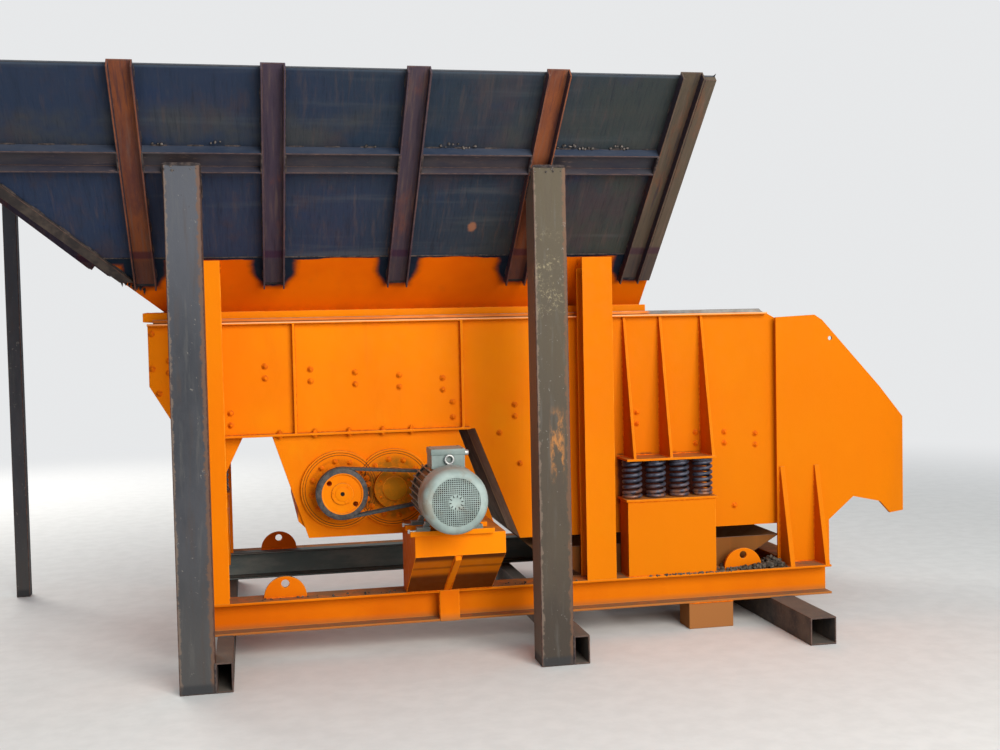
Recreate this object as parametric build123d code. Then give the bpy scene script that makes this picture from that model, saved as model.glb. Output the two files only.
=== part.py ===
from build123d import *
import math
import os

# A vibrating grizzly feeder under a receiving hopper, standing on its skid frame.
# Millimetres. X runs with the stone, from the feed end to the discharge end.
# Y points away from the motor side, with 0 on the centre line. Z is up, 0 on the floor.
# While it is modelled, X = 0 is the feed end of the base frame. The finished pieces
# are moved along X at the end, so that the origin is the middle of the whole plan.

# Clearances
WELD_GAP = 0.3
SIDE_CLEARANCE = 59.0

# Skids and base frame
SKID_HEIGHT = 140.0
SKID_WIDTH = 80.0
DISCHARGE_SKID_WIDTH = 140.0
DISCHARGE_SKID_SETBACK = 280.0
SKID_WALL = 8.0
BASE_LENGTH = 3445.0
BASE_HALF_WIDTH = 762.0
BEAM_HEIGHT = 160.0
BEAM_FLANGE = 160.0
BEAM_FLANGE_THICKNESS = 12.0
BEAM_WEB = 9.0
CROSS_BEAM_FLANGE = 140.0
REAR_CROSS_BEAM_X = 110.0
FRONT_CROSS_BEAM_X = 3365.0
SUPPORT_LEG_X = 2745.0
SUPPORT_LEG_LENGTH = 250.0
SUPPORT_LEG_DEPTH = 150.0

# Lifting lugs
LUG_RADIUS = 107.0
LUG_THICKNESS = 20.0
LUG_HOLE_RADIUS = 20.0
LUG_HOLE_HEIGHT = 70.0
LUG_X = (498.0, 2958.0)

# Hopper columns and posts
COLUMN_WIDTH = 160.0
COLUMN_DEPTH = 125.0
COLUMN_THICKNESS = 9.0
COLUMN_X = (144.0, 2137.0)
COLUMN_TOP_Z = 1992.0
POST_SIDE = 160.0
POST_WALL = 8.0
POST_X = (80.0, 1770.0)
REAR_POST_SIDE = 80.0
REAR_POST_X = -1080.0
POST_OUTSET = 30.0

# Hopper
OUTLET_HALF_WIDTH = 424.0
OUTLET_REAR_X = -60.0
HOPPER_FRONT_X = 2475.0
HOPPER_BOTTOM_Z = 1745.0
HOPPER_LOWER_HEIGHT = 265.0
HOPPER_UPPER_HEIGHT = 752.0
SIDE_WALL_ANGLE = 41.44
REAR_WALL_ANGLE = 39.0
HOPPER_PLATE = 12.0
FRAME_LEG = 45.0
FRAME_OUT = 104.0
FRAME_THICKNESS = 12.0
RIB_WIDTH = 105.0
RIB_DEPTH = 50.0
RIB_THICKNESS = 8.0
RIB_PITCH = 623.0
RIB_FIRST_X = -137.0
RIB_COUNT = 5
RIB_BOTTOM_Z = 1890.0
RIB_OVERHANG = 25.0
REAR_RIB_Y = 420.0
RAIL_WIDTH = 120.0
RAIL_DROP = 325.0
RAIL_END_GAP = 60.0
EDGE_BAR_WIDTH = 55.0
CORNER_ANGLE_WIDTH = 70.0
CORNER_BAR_THICKNESS = 16.0
EDGE_BAR_THICKNESS = 25.0

# Trough
TROUGH_REAR_X = -139.0
TROUGH_FRONT_X = 3213.0
TROUGH_PLATE = 12.0
TROUGH_TOP_Z = 1690.0
TROUGH_PAN_Z = 1107.0
TROUGH_DEEP_Z = 512.0
TROUGH_FLANGE = 40.0
FLANGE_END_GAP = 30.0
CORNER_CUT_X = 65.0
CORNER_CUT_Z = 35.0
REAR_WALL_Z = 1378.0
REAR_CHAMFER_X = 157.0
PAN_END_X = 1508.0
DEEP_START_X = 1740.0
SIDE_STIFFENER_X = (575.0, 1441.0)
STIFFENER_SETBACK = 4.0
LINER_THICKNESS = 10.0
LINER_RISE = 20.0
LINER_FOOT = 26.0

# Grizzly
BAR_COUNT = 8
BAR_SIDE_GAP = 54.0
BAR_WIDE = 72.0
BAR_NARROW = 48.0
BAR_HEIGHT = 80.0
BAR_INSET = 9.0
BAR_SLOPE = 5.0
UPPER_BARS_X = 1450.0
UPPER_BARS_Z = 1128.0
UPPER_BARS_LENGTH = 1000.0
UPPER_BEAMS_X = (1592.0, 2230.0)
LOWER_BARS_X = 2340.0
LOWER_BARS_Z = 940.0
LOWER_BARS_LENGTH = 860.0
LOWER_BEAMS_X = (2400.0, 3060.0)
CROSS_BEAM_WIDTH = 90.0
CROSS_BEAM_DEPTH = 110.0
APRON_HEIGHT = 300.0

# Springs and their seats
SPRING_OUTER_RADIUS = 50.0
SPRING_WIRE = 18.0
SPRING_SIDES = 10
SPRING_MARGIN = 8.0
SPRING_BOTTOM_Z = 712.0
SPRING_TOP_Z = 915.0
FRONT_SPRING_X = 2534.0
FRONT_SPRING_PITCH = 132.5
FRONT_SPRING_COUNT = 4
REAR_SPRING_X = 108.0
REAR_SPRING_PITCH = 112.0
REAR_SPRING_INSET = 95.0
SEAT_PLATE = 12.0
SEAT_LENGTH = 510.0
SEAT_DEPTH = 160.0
SEAT_WALL = 10.0
BRACKET_PLATE = 12.0
BRACKET_MARGIN = 6.0
GUSSET_THICKNESS = 14.0
GUSSET_TIP = 20.0
GUSSET_INSETS = (46.0, 14.0)
REAR_GUSSET_THICKNESS = 12.0
REAR_GUSSET_INSET = 20.0
REAR_GUSSET_FLARE = 90.0

# Exciter
EXCITER_TOP = (455.0, 1418.0)
EXCITER_BOTTOM = (627.0, 1610.0)
EXCITER_BOTTOM_Z = 574.0
EXCITER_PLATE = 20.0
SHAFT_X = (791.0, 1068.0)
SHAFT_Z = 820.0
HOUSING_MARGIN = 215.0
HOUSING_BOTTOM_Z = 600.0
HOUSING_CHAMFER = 60.0
BEARING_RADIUS = 200.0
BEARING_THICKNESS = 24.0
CAP_RADIUS = 105.0
CAP_THICKNESS = 45.0
CAP_BOSS_RADIUS = 62.0
CAP_BOSS_THICKNESS = 12.0
SHAFT_RADIUS = 35.0
SHAFT_CLEARANCE = 1.0
SHAFT_BORE_DEPTH = 35.0

# Drive
BELT_OFFSET = 160.0
BELT_WIDTH = 60.0
BELT_THICKNESS = 14.0
PULLEY_WIDTH = 66.0
DRIVE_PULLEY_RADIUS = 118.0
MOTOR_PULLEY_RADIUS = 64.0
PULLEY_HOLE_RADIUS = 13.0
PULLEY_HOLE_CIRCLE = 84.0
PULLEY_HOLE_ANGLE = 140.0
PULLEY_HUB_RADIUS = 54.0
PULLEY_RIM = 20.0
PULLEY_RECESS = 10.0
MOTOR_X = 1268.0
MOTOR_HEIGHT = 160.0
MOTOR_SHAFT_RADIUS = 24.0
MOTOR_RADIUS = 132.0
MOTOR_FIN_HEIGHT = 24.0
MOTOR_FIN = 6.0
MOTOR_FIN_FIRST = 60.0
MOTOR_FIN_STEP = 12.0
MOTOR_FIN_COUNT = 8
MOTOR_LENGTH = 630.0
MOTOR_COVER_LENGTH = 170.0
MOTOR_COVER_RADIUS = 157.0
MOTOR_COVER_ROUND = 28.0
MOTOR_COVER_BEVEL = 8.4
MOTOR_BODY_LENGTH = 300.0
MOTOR_SHIELD_LENGTH = 70.0
MOTOR_SHIELD = 22.0
MOTOR_SHIELD_RIM = 12.0
MOTOR_NECK_RADIUS = 79.0
MOTOR_FOOT_SPAN = 254.0
MOTOR_FOOT_LENGTH = 64.0
MOTOR_FOOT_DEPTH = 50.0
MOTOR_FOOT_HEIGHT = 18.0
MOTOR_FOOT_INSET = 30.0
MOTOR_LEG_THICKNESS = 26.0
MOTOR_LEG_INSET = 6.0
MOTOR_LEG_ROOT = 72.6
TERMINAL_BOX = (160.0, 150.0, 95.0)
TERMINAL_BOX_INSET = 40.0
SLIDE_RAIL_HEIGHT = 25.0
SLIDE_RAIL_DEPTH = 54.0
SLIDE_RAIL_LENGTH = 408.0
SLIDE_RAIL_OVERHANG = 25.0
MOTOR_BASE_TOP_Z = 653.0
MOTOR_BASE_X = (1102.0, 1545.0)
MOTOR_BASE_REACH = 376.0
MOTOR_BASE_SEAT = 114.0
MOTOR_BASE_LIP = 105.0
MOTOR_BASE_PLATE = 14.0
MOTOR_BASE_RIB_OFFSET = 210.0
MOTOR_BASE_RIB_THICKNESS = 30.0
MOTOR_BASE_RIB_DEPTH = 26.0
BEAM_STRAP_X = (1272.0, 1372.0)
BEAM_STRAP_PROUD = 8.0
BEAM_STRAP_THICKNESS = 20.0

# Fines chute and discharge cheeks
CHUTE_TOP_Z = 455.0
CHUTE_BOTTOM_Z = 60.0
CHUTE_X = (1800.0, 3210.0)
CHUTE_END_ANGLE = 30.0
CHUTE_OUTLET_X = (2200.0, 2800.0)
CHUTE_OUTLET_HALF_WIDTH = 350.0
CHUTE_PLATE = 8.0
CHEEK_GAP = 36.0
CHEEK_PLATE = 12.0
CHEEK_REAR_X = 3192.0
CHEEK_BEND_X = 3814.0
CHEEK_BEND_ANGLE = 28.0
CHEEK_TIP_LENGTH = 230.0
CHEEK_TOP_Z = 1670.0
CHEEK_TOP_FALL = 10.0
CHEEK_TOP_LENGTH = 232.0
CHEEK_SHOULDER = (46.0, 30.0)
CHEEK_BEND_TOP_Z = 1262.0
CHEEK_BEND_FOOT_Z = 612.0
CHEEK_NOTCH_X = (3500.0, 3649.0)
CHEEK_NOTCH_Z = (524.0, 648.0)
CHEEK_TIP_TOP_Z = 1078.0
CHEEK_TIP_FOOT_Z = 536.0
CHEEK_TIP_FOOT_LENGTH = 100.0
CHEEK_HOLE_X = 3516.0
CHEEK_HOLE_Z = 1538.0
CHEEK_HOLE_RADIUS = 12.0
CHEEK_GUSSET_X = (3206.0, 3410.0)
CHEEK_GUSSET_HEIGHT = 535.0
CHEEK_GUSSET_THICKNESS = 25.0
CHEEK_GUSSET_TIP = 12.0

# Worked out from the sizes above
BEAM_TOP_Z = SKID_HEIGHT + BEAM_HEIGHT
BEAM_Y = BASE_HALF_WIDTH - BEAM_FLANGE / 2
COLUMN_INNER_Y = BASE_HALF_WIDTH - COLUMN_DEPTH
TROUGH_HALF_WIDTH = COLUMN_INNER_Y - SIDE_CLEARANCE
TROUGH_INNER_Y = TROUGH_HALF_WIDTH - TROUGH_PLATE
SEAT_INNER_Y = BASE_HALF_WIDTH - SEAT_DEPTH
SPRING_Y = BASE_HALF_WIDTH - SEAT_DEPTH / 2
REAR_SPRING_Y = (TROUGH_INNER_Y - REAR_SPRING_INSET, TROUGH_INNER_Y - REAR_SPRING_INSET - REAR_SPRING_PITCH)
BAR_PITCH = (2 * (TROUGH_INNER_Y - BAR_SIDE_GAP) - BAR_WIDE) / (BAR_COUNT - 1)
BELT_Y = -TROUGH_HALF_WIDTH - BELT_OFFSET
MOTOR_FAN_Y = BELT_Y - MOTOR_LENGTH
MOTOR_Z = MOTOR_BASE_TOP_Z + SLIDE_RAIL_HEIGHT + MOTOR_HEIGHT
CHEEK_Y = -TROUGH_HALF_WIDTH - CHEEK_GAP - CHEEK_PLATE
HOPPER_SEAM_Z = HOPPER_BOTTOM_Z + HOPPER_LOWER_HEIGHT
HOPPER_TOP_Z = HOPPER_SEAM_Z + HOPPER_UPPER_HEIGHT
RAIL_Z = HOPPER_TOP_Z - RAIL_DROP
CHUTE_HALF_WIDTH = BASE_HALF_WIDTH - BEAM_FLANGE - WELD_GAP
CHAMFER_RATIO = REAR_CHAMFER_X / (REAR_WALL_Z - TROUGH_PAN_Z)
DIAGONAL_RATIO = (DEEP_START_X - PAN_END_X) / (TROUGH_PAN_Z - TROUGH_DEEP_Z)

SIDE_TAN = math.tan(math.radians(SIDE_WALL_ANGLE))
SIDE_SIN = math.sin(math.radians(SIDE_WALL_ANGLE))
SIDE_COS = math.cos(math.radians(SIDE_WALL_ANGLE))
REAR_TAN = math.tan(math.radians(REAR_WALL_ANGLE))
REAR_SIN = math.sin(math.radians(REAR_WALL_ANGLE))
REAR_COS = math.cos(math.radians(REAR_WALL_ANGLE))
POST_OUTER_Y = OUTLET_HALF_WIDTH + (RAIL_Z - HOPPER_BOTTOM_Z) / SIDE_TAN + POST_OUTSET


def block(x0, x1, y0, y1, z0, z1):
    """A box between two corners."""
    size = Box(x1 - x0, y1 - y0, z1 - z0)
    return Pos((x0 + x1) / 2, (y0 + y1) / 2, (z0 + z1) / 2) * size


def side_plate(points, y0, y1):
    """A flat outline of (x, z) points, extruded from y0 to y1."""
    outline = Polyline([(x, y0, z) for x, z in points], close=True)
    return extrude(make_face(outline), amount=y1 - y0, dir=(0, 1, 0))


def cross_plate(points, x0, x1):
    """A flat outline of (y, z) points, extruded from x0 to x1."""
    outline = Polyline([(x0, y, z) for y, z in points], close=True)
    return extrude(make_face(outline), amount=x1 - x0, dir=(1, 0, 0))


def far_copy(piece):
    """The same piece on the other side of the centre line."""
    return mirror(piece, about=Plane.XZ)


def both_sides(piece):
    """A piece with its copy on the far side."""
    return [piece, far_copy(piece)]


def disc_y(x, z, y0, y1, radius):
    """A round disc or shaft whose axis is along Y."""
    disc = Cylinder(radius, y1 - y0, rotation=(90, 0, 0))
    return Pos(x, (y0 + y1) / 2, z) * disc


def tube_z(x, y, side, wall, z0, z1):
    """An upright square tube."""
    outer = block(x - side / 2, x + side / 2, y - side / 2, y + side / 2, z0, z1)
    half = side / 2 - wall
    return outer - block(x - half, x + half, y - half, y + half, z0 - 1, z1 + 1)


# The near side wall's outer face, as x and the distance up its slope.
SIDE_PLANE = Plane(
    origin=(0, -OUTLET_HALF_WIDTH, HOPPER_BOTTOM_Z),
    x_dir=(1, 0, 0),
    z_dir=(0, -SIDE_SIN, -SIDE_COS),
)
# The rear wall's outer face, as -y and the distance up its slope.
REAR_PLANE = Plane(
    origin=(OUTLET_REAR_X, 0, HOPPER_BOTTOM_Z),
    x_dir=(0, -1, 0),
    z_dir=(-REAR_SIN, 0, -REAR_COS),
)
HUGE = 9000.0


def wall_half_width(z):
    """Half the hopper's outer width at a height."""
    return OUTLET_HALF_WIDTH + (z - HOPPER_BOTTOM_Z) / SIDE_TAN


def rear_wall_x(z):
    """The rear wall's outer face at a height."""
    return OUTLET_REAR_X - (z - HOPPER_BOTTOM_Z) / REAR_TAN


def up_side(z):
    """Distance up the side wall's slope at a height."""
    return (z - HOPPER_BOTTOM_Z) / SIDE_SIN


def up_rear(z):
    """Distance up the rear wall's slope at a height."""
    return (z - HOPPER_BOTTOM_Z) / REAR_SIN


def sloped(plane, points, inner, outer):
    """An outline on a sloping wall, between two distances out from its outer face."""
    outline = Polyline([(a, b, 0) for a, b in points], close=True)
    slab = extrude(make_face(outline), amount=outer - inner, dir=(0, 0, 1))
    return plane * (Pos(0, 0, inner) * slab)


def above_plane(plane, distance):
    """Everything on the hopper's side of a wall's face moved out by a distance."""
    return plane * (Pos(0, 0, distance - HUGE / 2) * Box(2 * HUGE, 2 * HUGE, HUGE))


def channel_on(plane, a0, a1, b0, b1):
    """A channel with its web on a wall and its toes outwards. Its length is the longer side."""
    outer = sloped(plane, [(a0, b0), (a1, b0), (a1, b1), (a0, b1)], 0, RIB_DEPTH)
    t = RIB_THICKNESS
    if a1 - a0 > b1 - b0:
        hollow = [(a0 - t, b0 + t), (a1 + t, b0 + t), (a1 + t, b1 - t), (a0 - t, b1 - t)]
    else:
        hollow = [(a0 + t, b0 - t), (a1 - t, b0 - t), (a1 - t, b1 + t), (a0 + t, b1 + t)]
    return outer - sloped(plane, hollow, t, RIB_DEPTH + t)


def side_wall(z0, z1):
    """The near side wall between two heights."""
    left0 = rear_wall_x(z0)
    left1 = rear_wall_x(z1)
    points = [(left0, up_side(z0)), (HOPPER_FRONT_X, up_side(z0))]
    points += [(HOPPER_FRONT_X, up_side(z1)), (left1, up_side(z1))]
    return sloped(SIDE_PLANE, points, -HOPPER_PLATE, 0)


def end_half_width(z):
    """Half the width between the inner faces of the side walls."""
    return wall_half_width(z) - HOPPER_PLATE / SIDE_SIN - WELD_GAP


def rear_wall(z0, z1):
    """The rear wall between two heights, set between the side walls."""
    w0 = end_half_width(z0)
    w1 = end_half_width(z1)
    points = [(-w0, up_rear(z0)), (w0, up_rear(z0)), (w1, up_rear(z1)), (-w1, up_rear(z1))]
    return sloped(REAR_PLANE, points, -HOPPER_PLATE, 0)


def front_wall(z0, z1):
    """The upright front wall between two heights, set between the side walls."""
    w0 = end_half_width(z0)
    w1 = end_half_width(z1)
    points = [(-w0, z0), (w0, z0), (w1, z1), (-w1, z1)]
    return cross_plate(points, HOPPER_FRONT_X - HOPPER_PLATE, HOPPER_FRONT_X)


def i_beam_x(x0, x1, y, z0, height, flange, thickness, web):
    """An I-beam along X."""
    lower = block(x0, x1, y - flange / 2, y + flange / 2, z0, z0 + thickness)
    upper = block(x0, x1, y - flange / 2, y + flange / 2, z0 + height - thickness, z0 + height)
    return lower + upper + block(x0, x1, y - web / 2, y + web / 2, z0, z0 + height)


# Base frame
def base_beam():
    """The near base beam, one long I-section."""
    return i_beam_x(0, BASE_LENGTH, -BEAM_Y, SKID_HEIGHT, BEAM_HEIGHT, BEAM_FLANGE,
                    BEAM_FLANGE_THICKNESS, BEAM_WEB)


def beam_strap():
    """The upright plate that closes the near beam's outer side below the motor base rib."""
    x0, x1 = BEAM_STRAP_X
    y0 = -BASE_HALF_WIDTH - BEAM_STRAP_PROUD
    return block(x0, x1, y0, y0 + BEAM_STRAP_THICKNESS, SKID_HEIGHT, BEAM_TOP_Z)


def base_cross_beams():
    """The I-beams that tie the two base beams together at each end."""
    reach = BEAM_Y - BEAM_WEB / 2 - WELD_GAP
    inset = BEAM_FLANGE_THICKNESS + WELD_GAP
    z0 = SKID_HEIGHT + inset
    z1 = BEAM_TOP_Z - inset
    beams = []
    for x in (REAR_CROSS_BEAM_X, FRONT_CROSS_BEAM_X):
        half = CROSS_BEAM_FLANGE / 2
        low = block(x - half, x + half, -reach, reach, z0, z0 + BEAM_FLANGE_THICKNESS)
        high = block(x - half, x + half, -reach, reach, z1 - BEAM_FLANGE_THICKNESS, z1)
        web = block(x - BEAM_WEB / 2, x + BEAM_WEB / 2, -reach, reach, z0, z1)
        beams.append(low + high + web)
    return beams


def skid_tubes():
    """Open-ended tubes laid across the floor, beside the posts and at the discharge end."""
    beside = POST_SIDE / 2 + WELD_GAP
    starts = [(x + beside, SKID_WIDTH) for x in POST_X]
    starts.append((FRONT_CROSS_BEAM_X - DISCHARGE_SKID_SETBACK, DISCHARGE_SKID_WIDTH))
    tubes = []
    for x0, width in starts:
        x1 = x0 + width
        tube = block(x0, x1, -POST_OUTER_Y, POST_OUTER_Y, 0, SKID_HEIGHT)
        w = SKID_WALL
        reach = POST_OUTER_Y + 1
        tube -= block(x0 + w, x1 - w, -reach, reach, w, SKID_HEIGHT - w)
        tubes.append(tube)
    return tubes


def support_legs():
    """Plate boxes that carry the base beams near the discharge end."""
    x0 = SUPPORT_LEG_X - SUPPORT_LEG_LENGTH / 2
    x1 = SUPPORT_LEG_X + SUPPORT_LEG_LENGTH / 2
    y0 = -BEAM_Y - SUPPORT_LEG_DEPTH / 2
    leg = block(x0, x1, y0, y0 + SUPPORT_LEG_DEPTH, 0, SKID_HEIGHT)
    return both_sides(leg)


def lifting_lugs():
    """Half-round lifting plates on the base beams."""
    y0 = -BEAM_Y - LUG_THICKNESS / 2
    y1 = y0 + LUG_THICKNESS
    lugs = []
    for x in LUG_X:
        lug = disc_y(x, BEAM_TOP_Z, y0, y1, LUG_RADIUS)
        lug &= block(x - LUG_RADIUS, x + LUG_RADIUS, y0, y1, BEAM_TOP_Z, BEAM_TOP_Z + LUG_RADIUS)
        lug -= disc_y(x, BEAM_TOP_Z + LUG_HOLE_HEIGHT, y0 - 1, y1 + 1, LUG_HOLE_RADIUS)
        lugs += both_sides(lug)
    return lugs


# Hopper supports
def hopper_columns():
    """H-section columns on the base beams, cut to the slope of the lower hopper."""
    columns = []
    for x in COLUMN_X:
        x0 = x - COLUMN_WIDTH / 2
        x1 = x + COLUMN_WIDTH / 2
        y0 = -BASE_HALF_WIDTH
        y1 = -COLUMN_INNER_Y
        t = COLUMN_THICKNESS
        column = block(x0, x1, y0, y0 + t, BEAM_TOP_Z, COLUMN_TOP_Z)
        column += block(x0, x1, y1 - t, y1, BEAM_TOP_Z, COLUMN_TOP_Z)
        column += block(x - t / 2, x + t / 2, y0, y1, BEAM_TOP_Z, COLUMN_TOP_Z)
        column -= above_plane(SIDE_PLANE, WELD_GAP)
        columns += both_sides(column)
    return columns


def hopper_posts():
    """Square tube posts from the floor to the rails and ribs of the side walls."""
    posts = []
    for x in POST_X:
        y = -POST_OUTER_Y + POST_SIDE / 2
        post = tube_z(x, y, POST_SIDE, POST_WALL, 0, HOPPER_TOP_Z)
        post -= above_plane(SIDE_PLANE, RIB_DEPTH + WELD_GAP)
        posts += both_sides(post)
    return posts


def rear_posts():
    """Thin posts under the rail of the rear wall."""
    y = -POST_OUTER_Y + REAR_POST_SIDE / 2
    post = tube_z(REAR_POST_X, y, REAR_POST_SIDE, POST_WALL, 0, HOPPER_TOP_Z)
    post -= above_plane(REAR_PLANE, RIB_DEPTH + WELD_GAP)
    return both_sides(post)


# Hopper
def outlet_frame():
    """The angle frame round the hopper's outlet."""
    x0 = OUTLET_REAR_X - FRAME_OUT
    x1 = HOPPER_FRONT_X
    y1 = OUTLET_HALF_WIDTH + FRAME_OUT
    t = FRAME_THICKNESS
    z1 = HOPPER_BOTTOM_Z - WELD_GAP
    z0 = z1 - FRAME_LEG
    inner_x = OUTLET_REAR_X + HOPPER_PLATE
    inner_y = OUTLET_HALF_WIDTH - HOPPER_PLATE
    frame = block(x0, x1, -y1, y1, z0, z1)
    frame -= block(inner_x, x1 - t, -inner_y, inner_y, z0 - 1, z1 + 1)
    frame -= block(x0 + t, x1 - t, -y1 + t, y1 - t, z0 - 1, z1 - t)
    return frame


def rib_positions():
    """Centres of the side wall ribs along X."""
    return [RIB_FIRST_X + i * RIB_PITCH for i in range(RIB_COUNT)]


def side_ribs():
    """Upright channels on the near side wall, reaching above its top edge."""
    b0 = up_side(RIB_BOTTOM_Z)
    b1 = up_side(HOPPER_TOP_Z) + RIB_OVERHANG
    half = RIB_WIDTH / 2
    return [channel_on(SIDE_PLANE, x - half, x + half, b0, b1) for x in rib_positions()]


def rear_ribs():
    """Channels on the rear wall."""
    b0 = up_rear(HOPPER_SEAM_Z)
    b1 = up_rear(HOPPER_TOP_Z) + RIB_OVERHANG
    half = RIB_WIDTH / 2
    ribs = []
    for a in (-REAR_RIB_Y, REAR_RIB_Y):
        ribs.append(channel_on(REAR_PLANE, a - half, a + half, b0, b1))
    return ribs


def side_rails():
    """Lengths of channel between the ribs of the near side wall."""
    centre = up_side(RAIL_Z)
    b0 = centre - RAIL_WIDTH / 2
    b1 = centre + RAIL_WIDTH / 2
    gap = RIB_WIDTH / 2 + WELD_GAP
    ribs = rib_positions()
    spans = [(a + gap, b - gap) for a, b in zip(ribs[:-1], ribs[1:])]
    spans.insert(0, (rear_wall_x(RAIL_Z) + CORNER_ANGLE_WIDTH + RAIL_END_GAP, ribs[0] - gap))
    return [channel_on(SIDE_PLANE, a0, a1, b0, b1) for a0, a1 in spans]


def rear_rails():
    """Lengths of channel between the ribs of the rear wall, over the rear posts."""
    z = HOPPER_BOTTOM_Z + (OUTLET_REAR_X - REAR_POST_X) * REAR_TAN
    centre = up_rear(z)
    b0 = centre - RAIL_WIDTH / 2
    b1 = centre + RAIL_WIDTH / 2
    gap = RIB_WIDTH / 2 + WELD_GAP
    edge = end_half_width(z) - CORNER_ANGLE_WIDTH
    spans = [(-edge, -REAR_RIB_Y - gap), (-REAR_RIB_Y + gap, REAR_RIB_Y - gap), (REAR_RIB_Y + gap, edge)]
    return [channel_on(REAR_PLANE, a0, a1, b0, b1) for a0, a1 in spans]


def corner_bar():
    """The flat bar under the sloping corner of the near side wall and the rear wall."""
    w = CORNER_ANGLE_WIDTH
    clear_x = rib_positions()[0] - RIB_WIDTH / 2 - WELD_GAP - w
    z0 = HOPPER_BOTTOM_Z + (OUTLET_REAR_X - clear_x) * REAR_TAN
    z1 = HOPPER_TOP_Z
    points = [(rear_wall_x(z0), up_side(z0)), (rear_wall_x(z0) + w, up_side(z0))]
    points += [(rear_wall_x(z1) + w, up_side(z1)), (rear_wall_x(z1), up_side(z1))]
    return sloped(SIDE_PLANE, points, 0, CORNER_BAR_THICKNESS)


def front_edge_bar():
    """The bar along the front edge of the near side wall."""
    a1 = HOPPER_FRONT_X
    a0 = a1 - EDGE_BAR_WIDTH
    b0 = up_side(RIB_BOTTOM_Z)
    b1 = up_side(HOPPER_TOP_Z)
    return sloped(SIDE_PLANE, [(a0, b0), (a1, b0), (a1, b1), (a0, b1)], 0, EDGE_BAR_THICKNESS)


# Trough
def trough_side():
    """The near side plate: shallow over the exciter, deep round the grizzly."""
    y0 = -TROUGH_HALF_WIDTH
    y1 = -TROUGH_INNER_Y
    outline = [
        (TROUGH_REAR_X, TROUGH_TOP_Z),
        (TROUGH_FRONT_X - CORNER_CUT_X, TROUGH_TOP_Z),
        (TROUGH_FRONT_X, TROUGH_TOP_Z - CORNER_CUT_Z),
        (TROUGH_FRONT_X, TROUGH_DEEP_Z),
        (DEEP_START_X, TROUGH_DEEP_Z),
        (PAN_END_X, TROUGH_PAN_Z),
        (TROUGH_REAR_X + REAR_CHAMFER_X, TROUGH_PAN_Z),
        (TROUGH_REAR_X, REAR_WALL_Z),
    ]
    t = TROUGH_PLATE
    edge = y0 - TROUGH_FLANGE
    side = side_plate(outline, y0, y1)
    side += block(TROUGH_REAR_X, TROUGH_FRONT_X - CORNER_CUT_X, edge, y0, TROUGH_TOP_Z - t, TROUGH_TOP_Z)
    flange_x0 = TROUGH_REAR_X + REAR_CHAMFER_X
    side += block(flange_x0, PAN_END_X - FLANGE_END_GAP, edge, y0, TROUGH_PAN_Z, TROUGH_PAN_Z + t)
    for x in SIDE_STIFFENER_X:
        y = edge + STIFFENER_SETBACK
        side += block(x - t / 2, x + t / 2, y, y0, TROUGH_PAN_Z + t / 2, TROUGH_TOP_Z - t / 2)
    return side


def trough_rear_wall():
    """The end plate, upright at the top and sloping down to the pan."""
    t = TROUGH_PLATE
    shift = t * math.sqrt(1 + CHAMFER_RATIO ** 2)
    inner_knee = REAR_WALL_Z + (shift - t) / CHAMFER_RATIO
    foot = TROUGH_PAN_Z + t
    foot_x = TROUGH_REAR_X + (REAR_WALL_Z - foot) * CHAMFER_RATIO
    outline = [
        (TROUGH_REAR_X, TROUGH_TOP_Z),
        (TROUGH_REAR_X, REAR_WALL_Z),
        (foot_x, foot),
        (foot_x + shift, foot),
        (TROUGH_REAR_X + t, inner_knee),
        (TROUGH_REAR_X + t, TROUGH_TOP_Z),
    ]
    reach = TROUGH_INNER_Y - WELD_GAP
    return side_plate(outline, -reach, reach)


def trough_pan():
    """The solid floor under the feed."""
    reach = TROUGH_INNER_Y - WELD_GAP
    x0 = TROUGH_REAR_X + REAR_CHAMFER_X
    z1 = TROUGH_PAN_Z + TROUGH_PLATE - WELD_GAP
    return block(x0, PAN_END_X, -reach, reach, TROUGH_PAN_Z, z1)


def side_liner():
    """The wear plate inside the near side plate, standing above its flange."""
    y0 = -TROUGH_INNER_Y + WELD_GAP
    y1 = y0 + LINER_THICKNESS
    x0 = TROUGH_REAR_X + REAR_CHAMFER_X + LINER_FOOT
    z0 = TROUGH_PAN_Z + LINER_FOOT
    z1 = TROUGH_TOP_Z + LINER_RISE
    knee_x = TROUGH_REAR_X + LINER_FOOT
    outline = [
        (x0, z0),
        (TROUGH_FRONT_X - LINER_FOOT, z0),
        (TROUGH_FRONT_X - LINER_FOOT, TROUGH_TOP_Z - CORNER_CUT_Z),
        (TROUGH_FRONT_X - LINER_FOOT - CORNER_CUT_X, z1),
        (knee_x, z1),
        (knee_x, REAR_WALL_Z),
    ]
    return side_plate(outline, y0, y1)


def tapered_bar(length):
    """A grizzly bar along X with its top face at z = 0, narrower below and towards its end."""
    bar = block(0, length, -BAR_WIDE / 2, BAR_WIDE / 2, -BAR_HEIGHT, 0)
    for side in (-1, 1):
        along = Vector(length, side * (BAR_NARROW - BAR_WIDE) / 2, 0)
        down = Vector(0, -side * BAR_INSET, -BAR_HEIGHT)
        flank = Plane(origin=(0, side * BAR_WIDE / 2, 0), x_dir=along, z_dir=along.cross(down) * side)
        bar = split(bar, bisect_by=flank, keep=Keep.BOTTOM)
    return bar


def bar_positions():
    """Centres of the grizzly bars across the trough."""
    first = -(BAR_COUNT - 1) / 2 * BAR_PITCH
    return [first + i * BAR_PITCH for i in range(BAR_COUNT)]


def grizzly_bars(x, z, length):
    """One deck of bars, sloping down with the flow. The height is of its feed end."""
    deck = []
    for y in bar_positions():
        deck.append(Pos(x, y, z + BAR_HEIGHT) * Rot(0, BAR_SLOPE, 0) * tapered_bar(length))
    return deck


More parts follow.
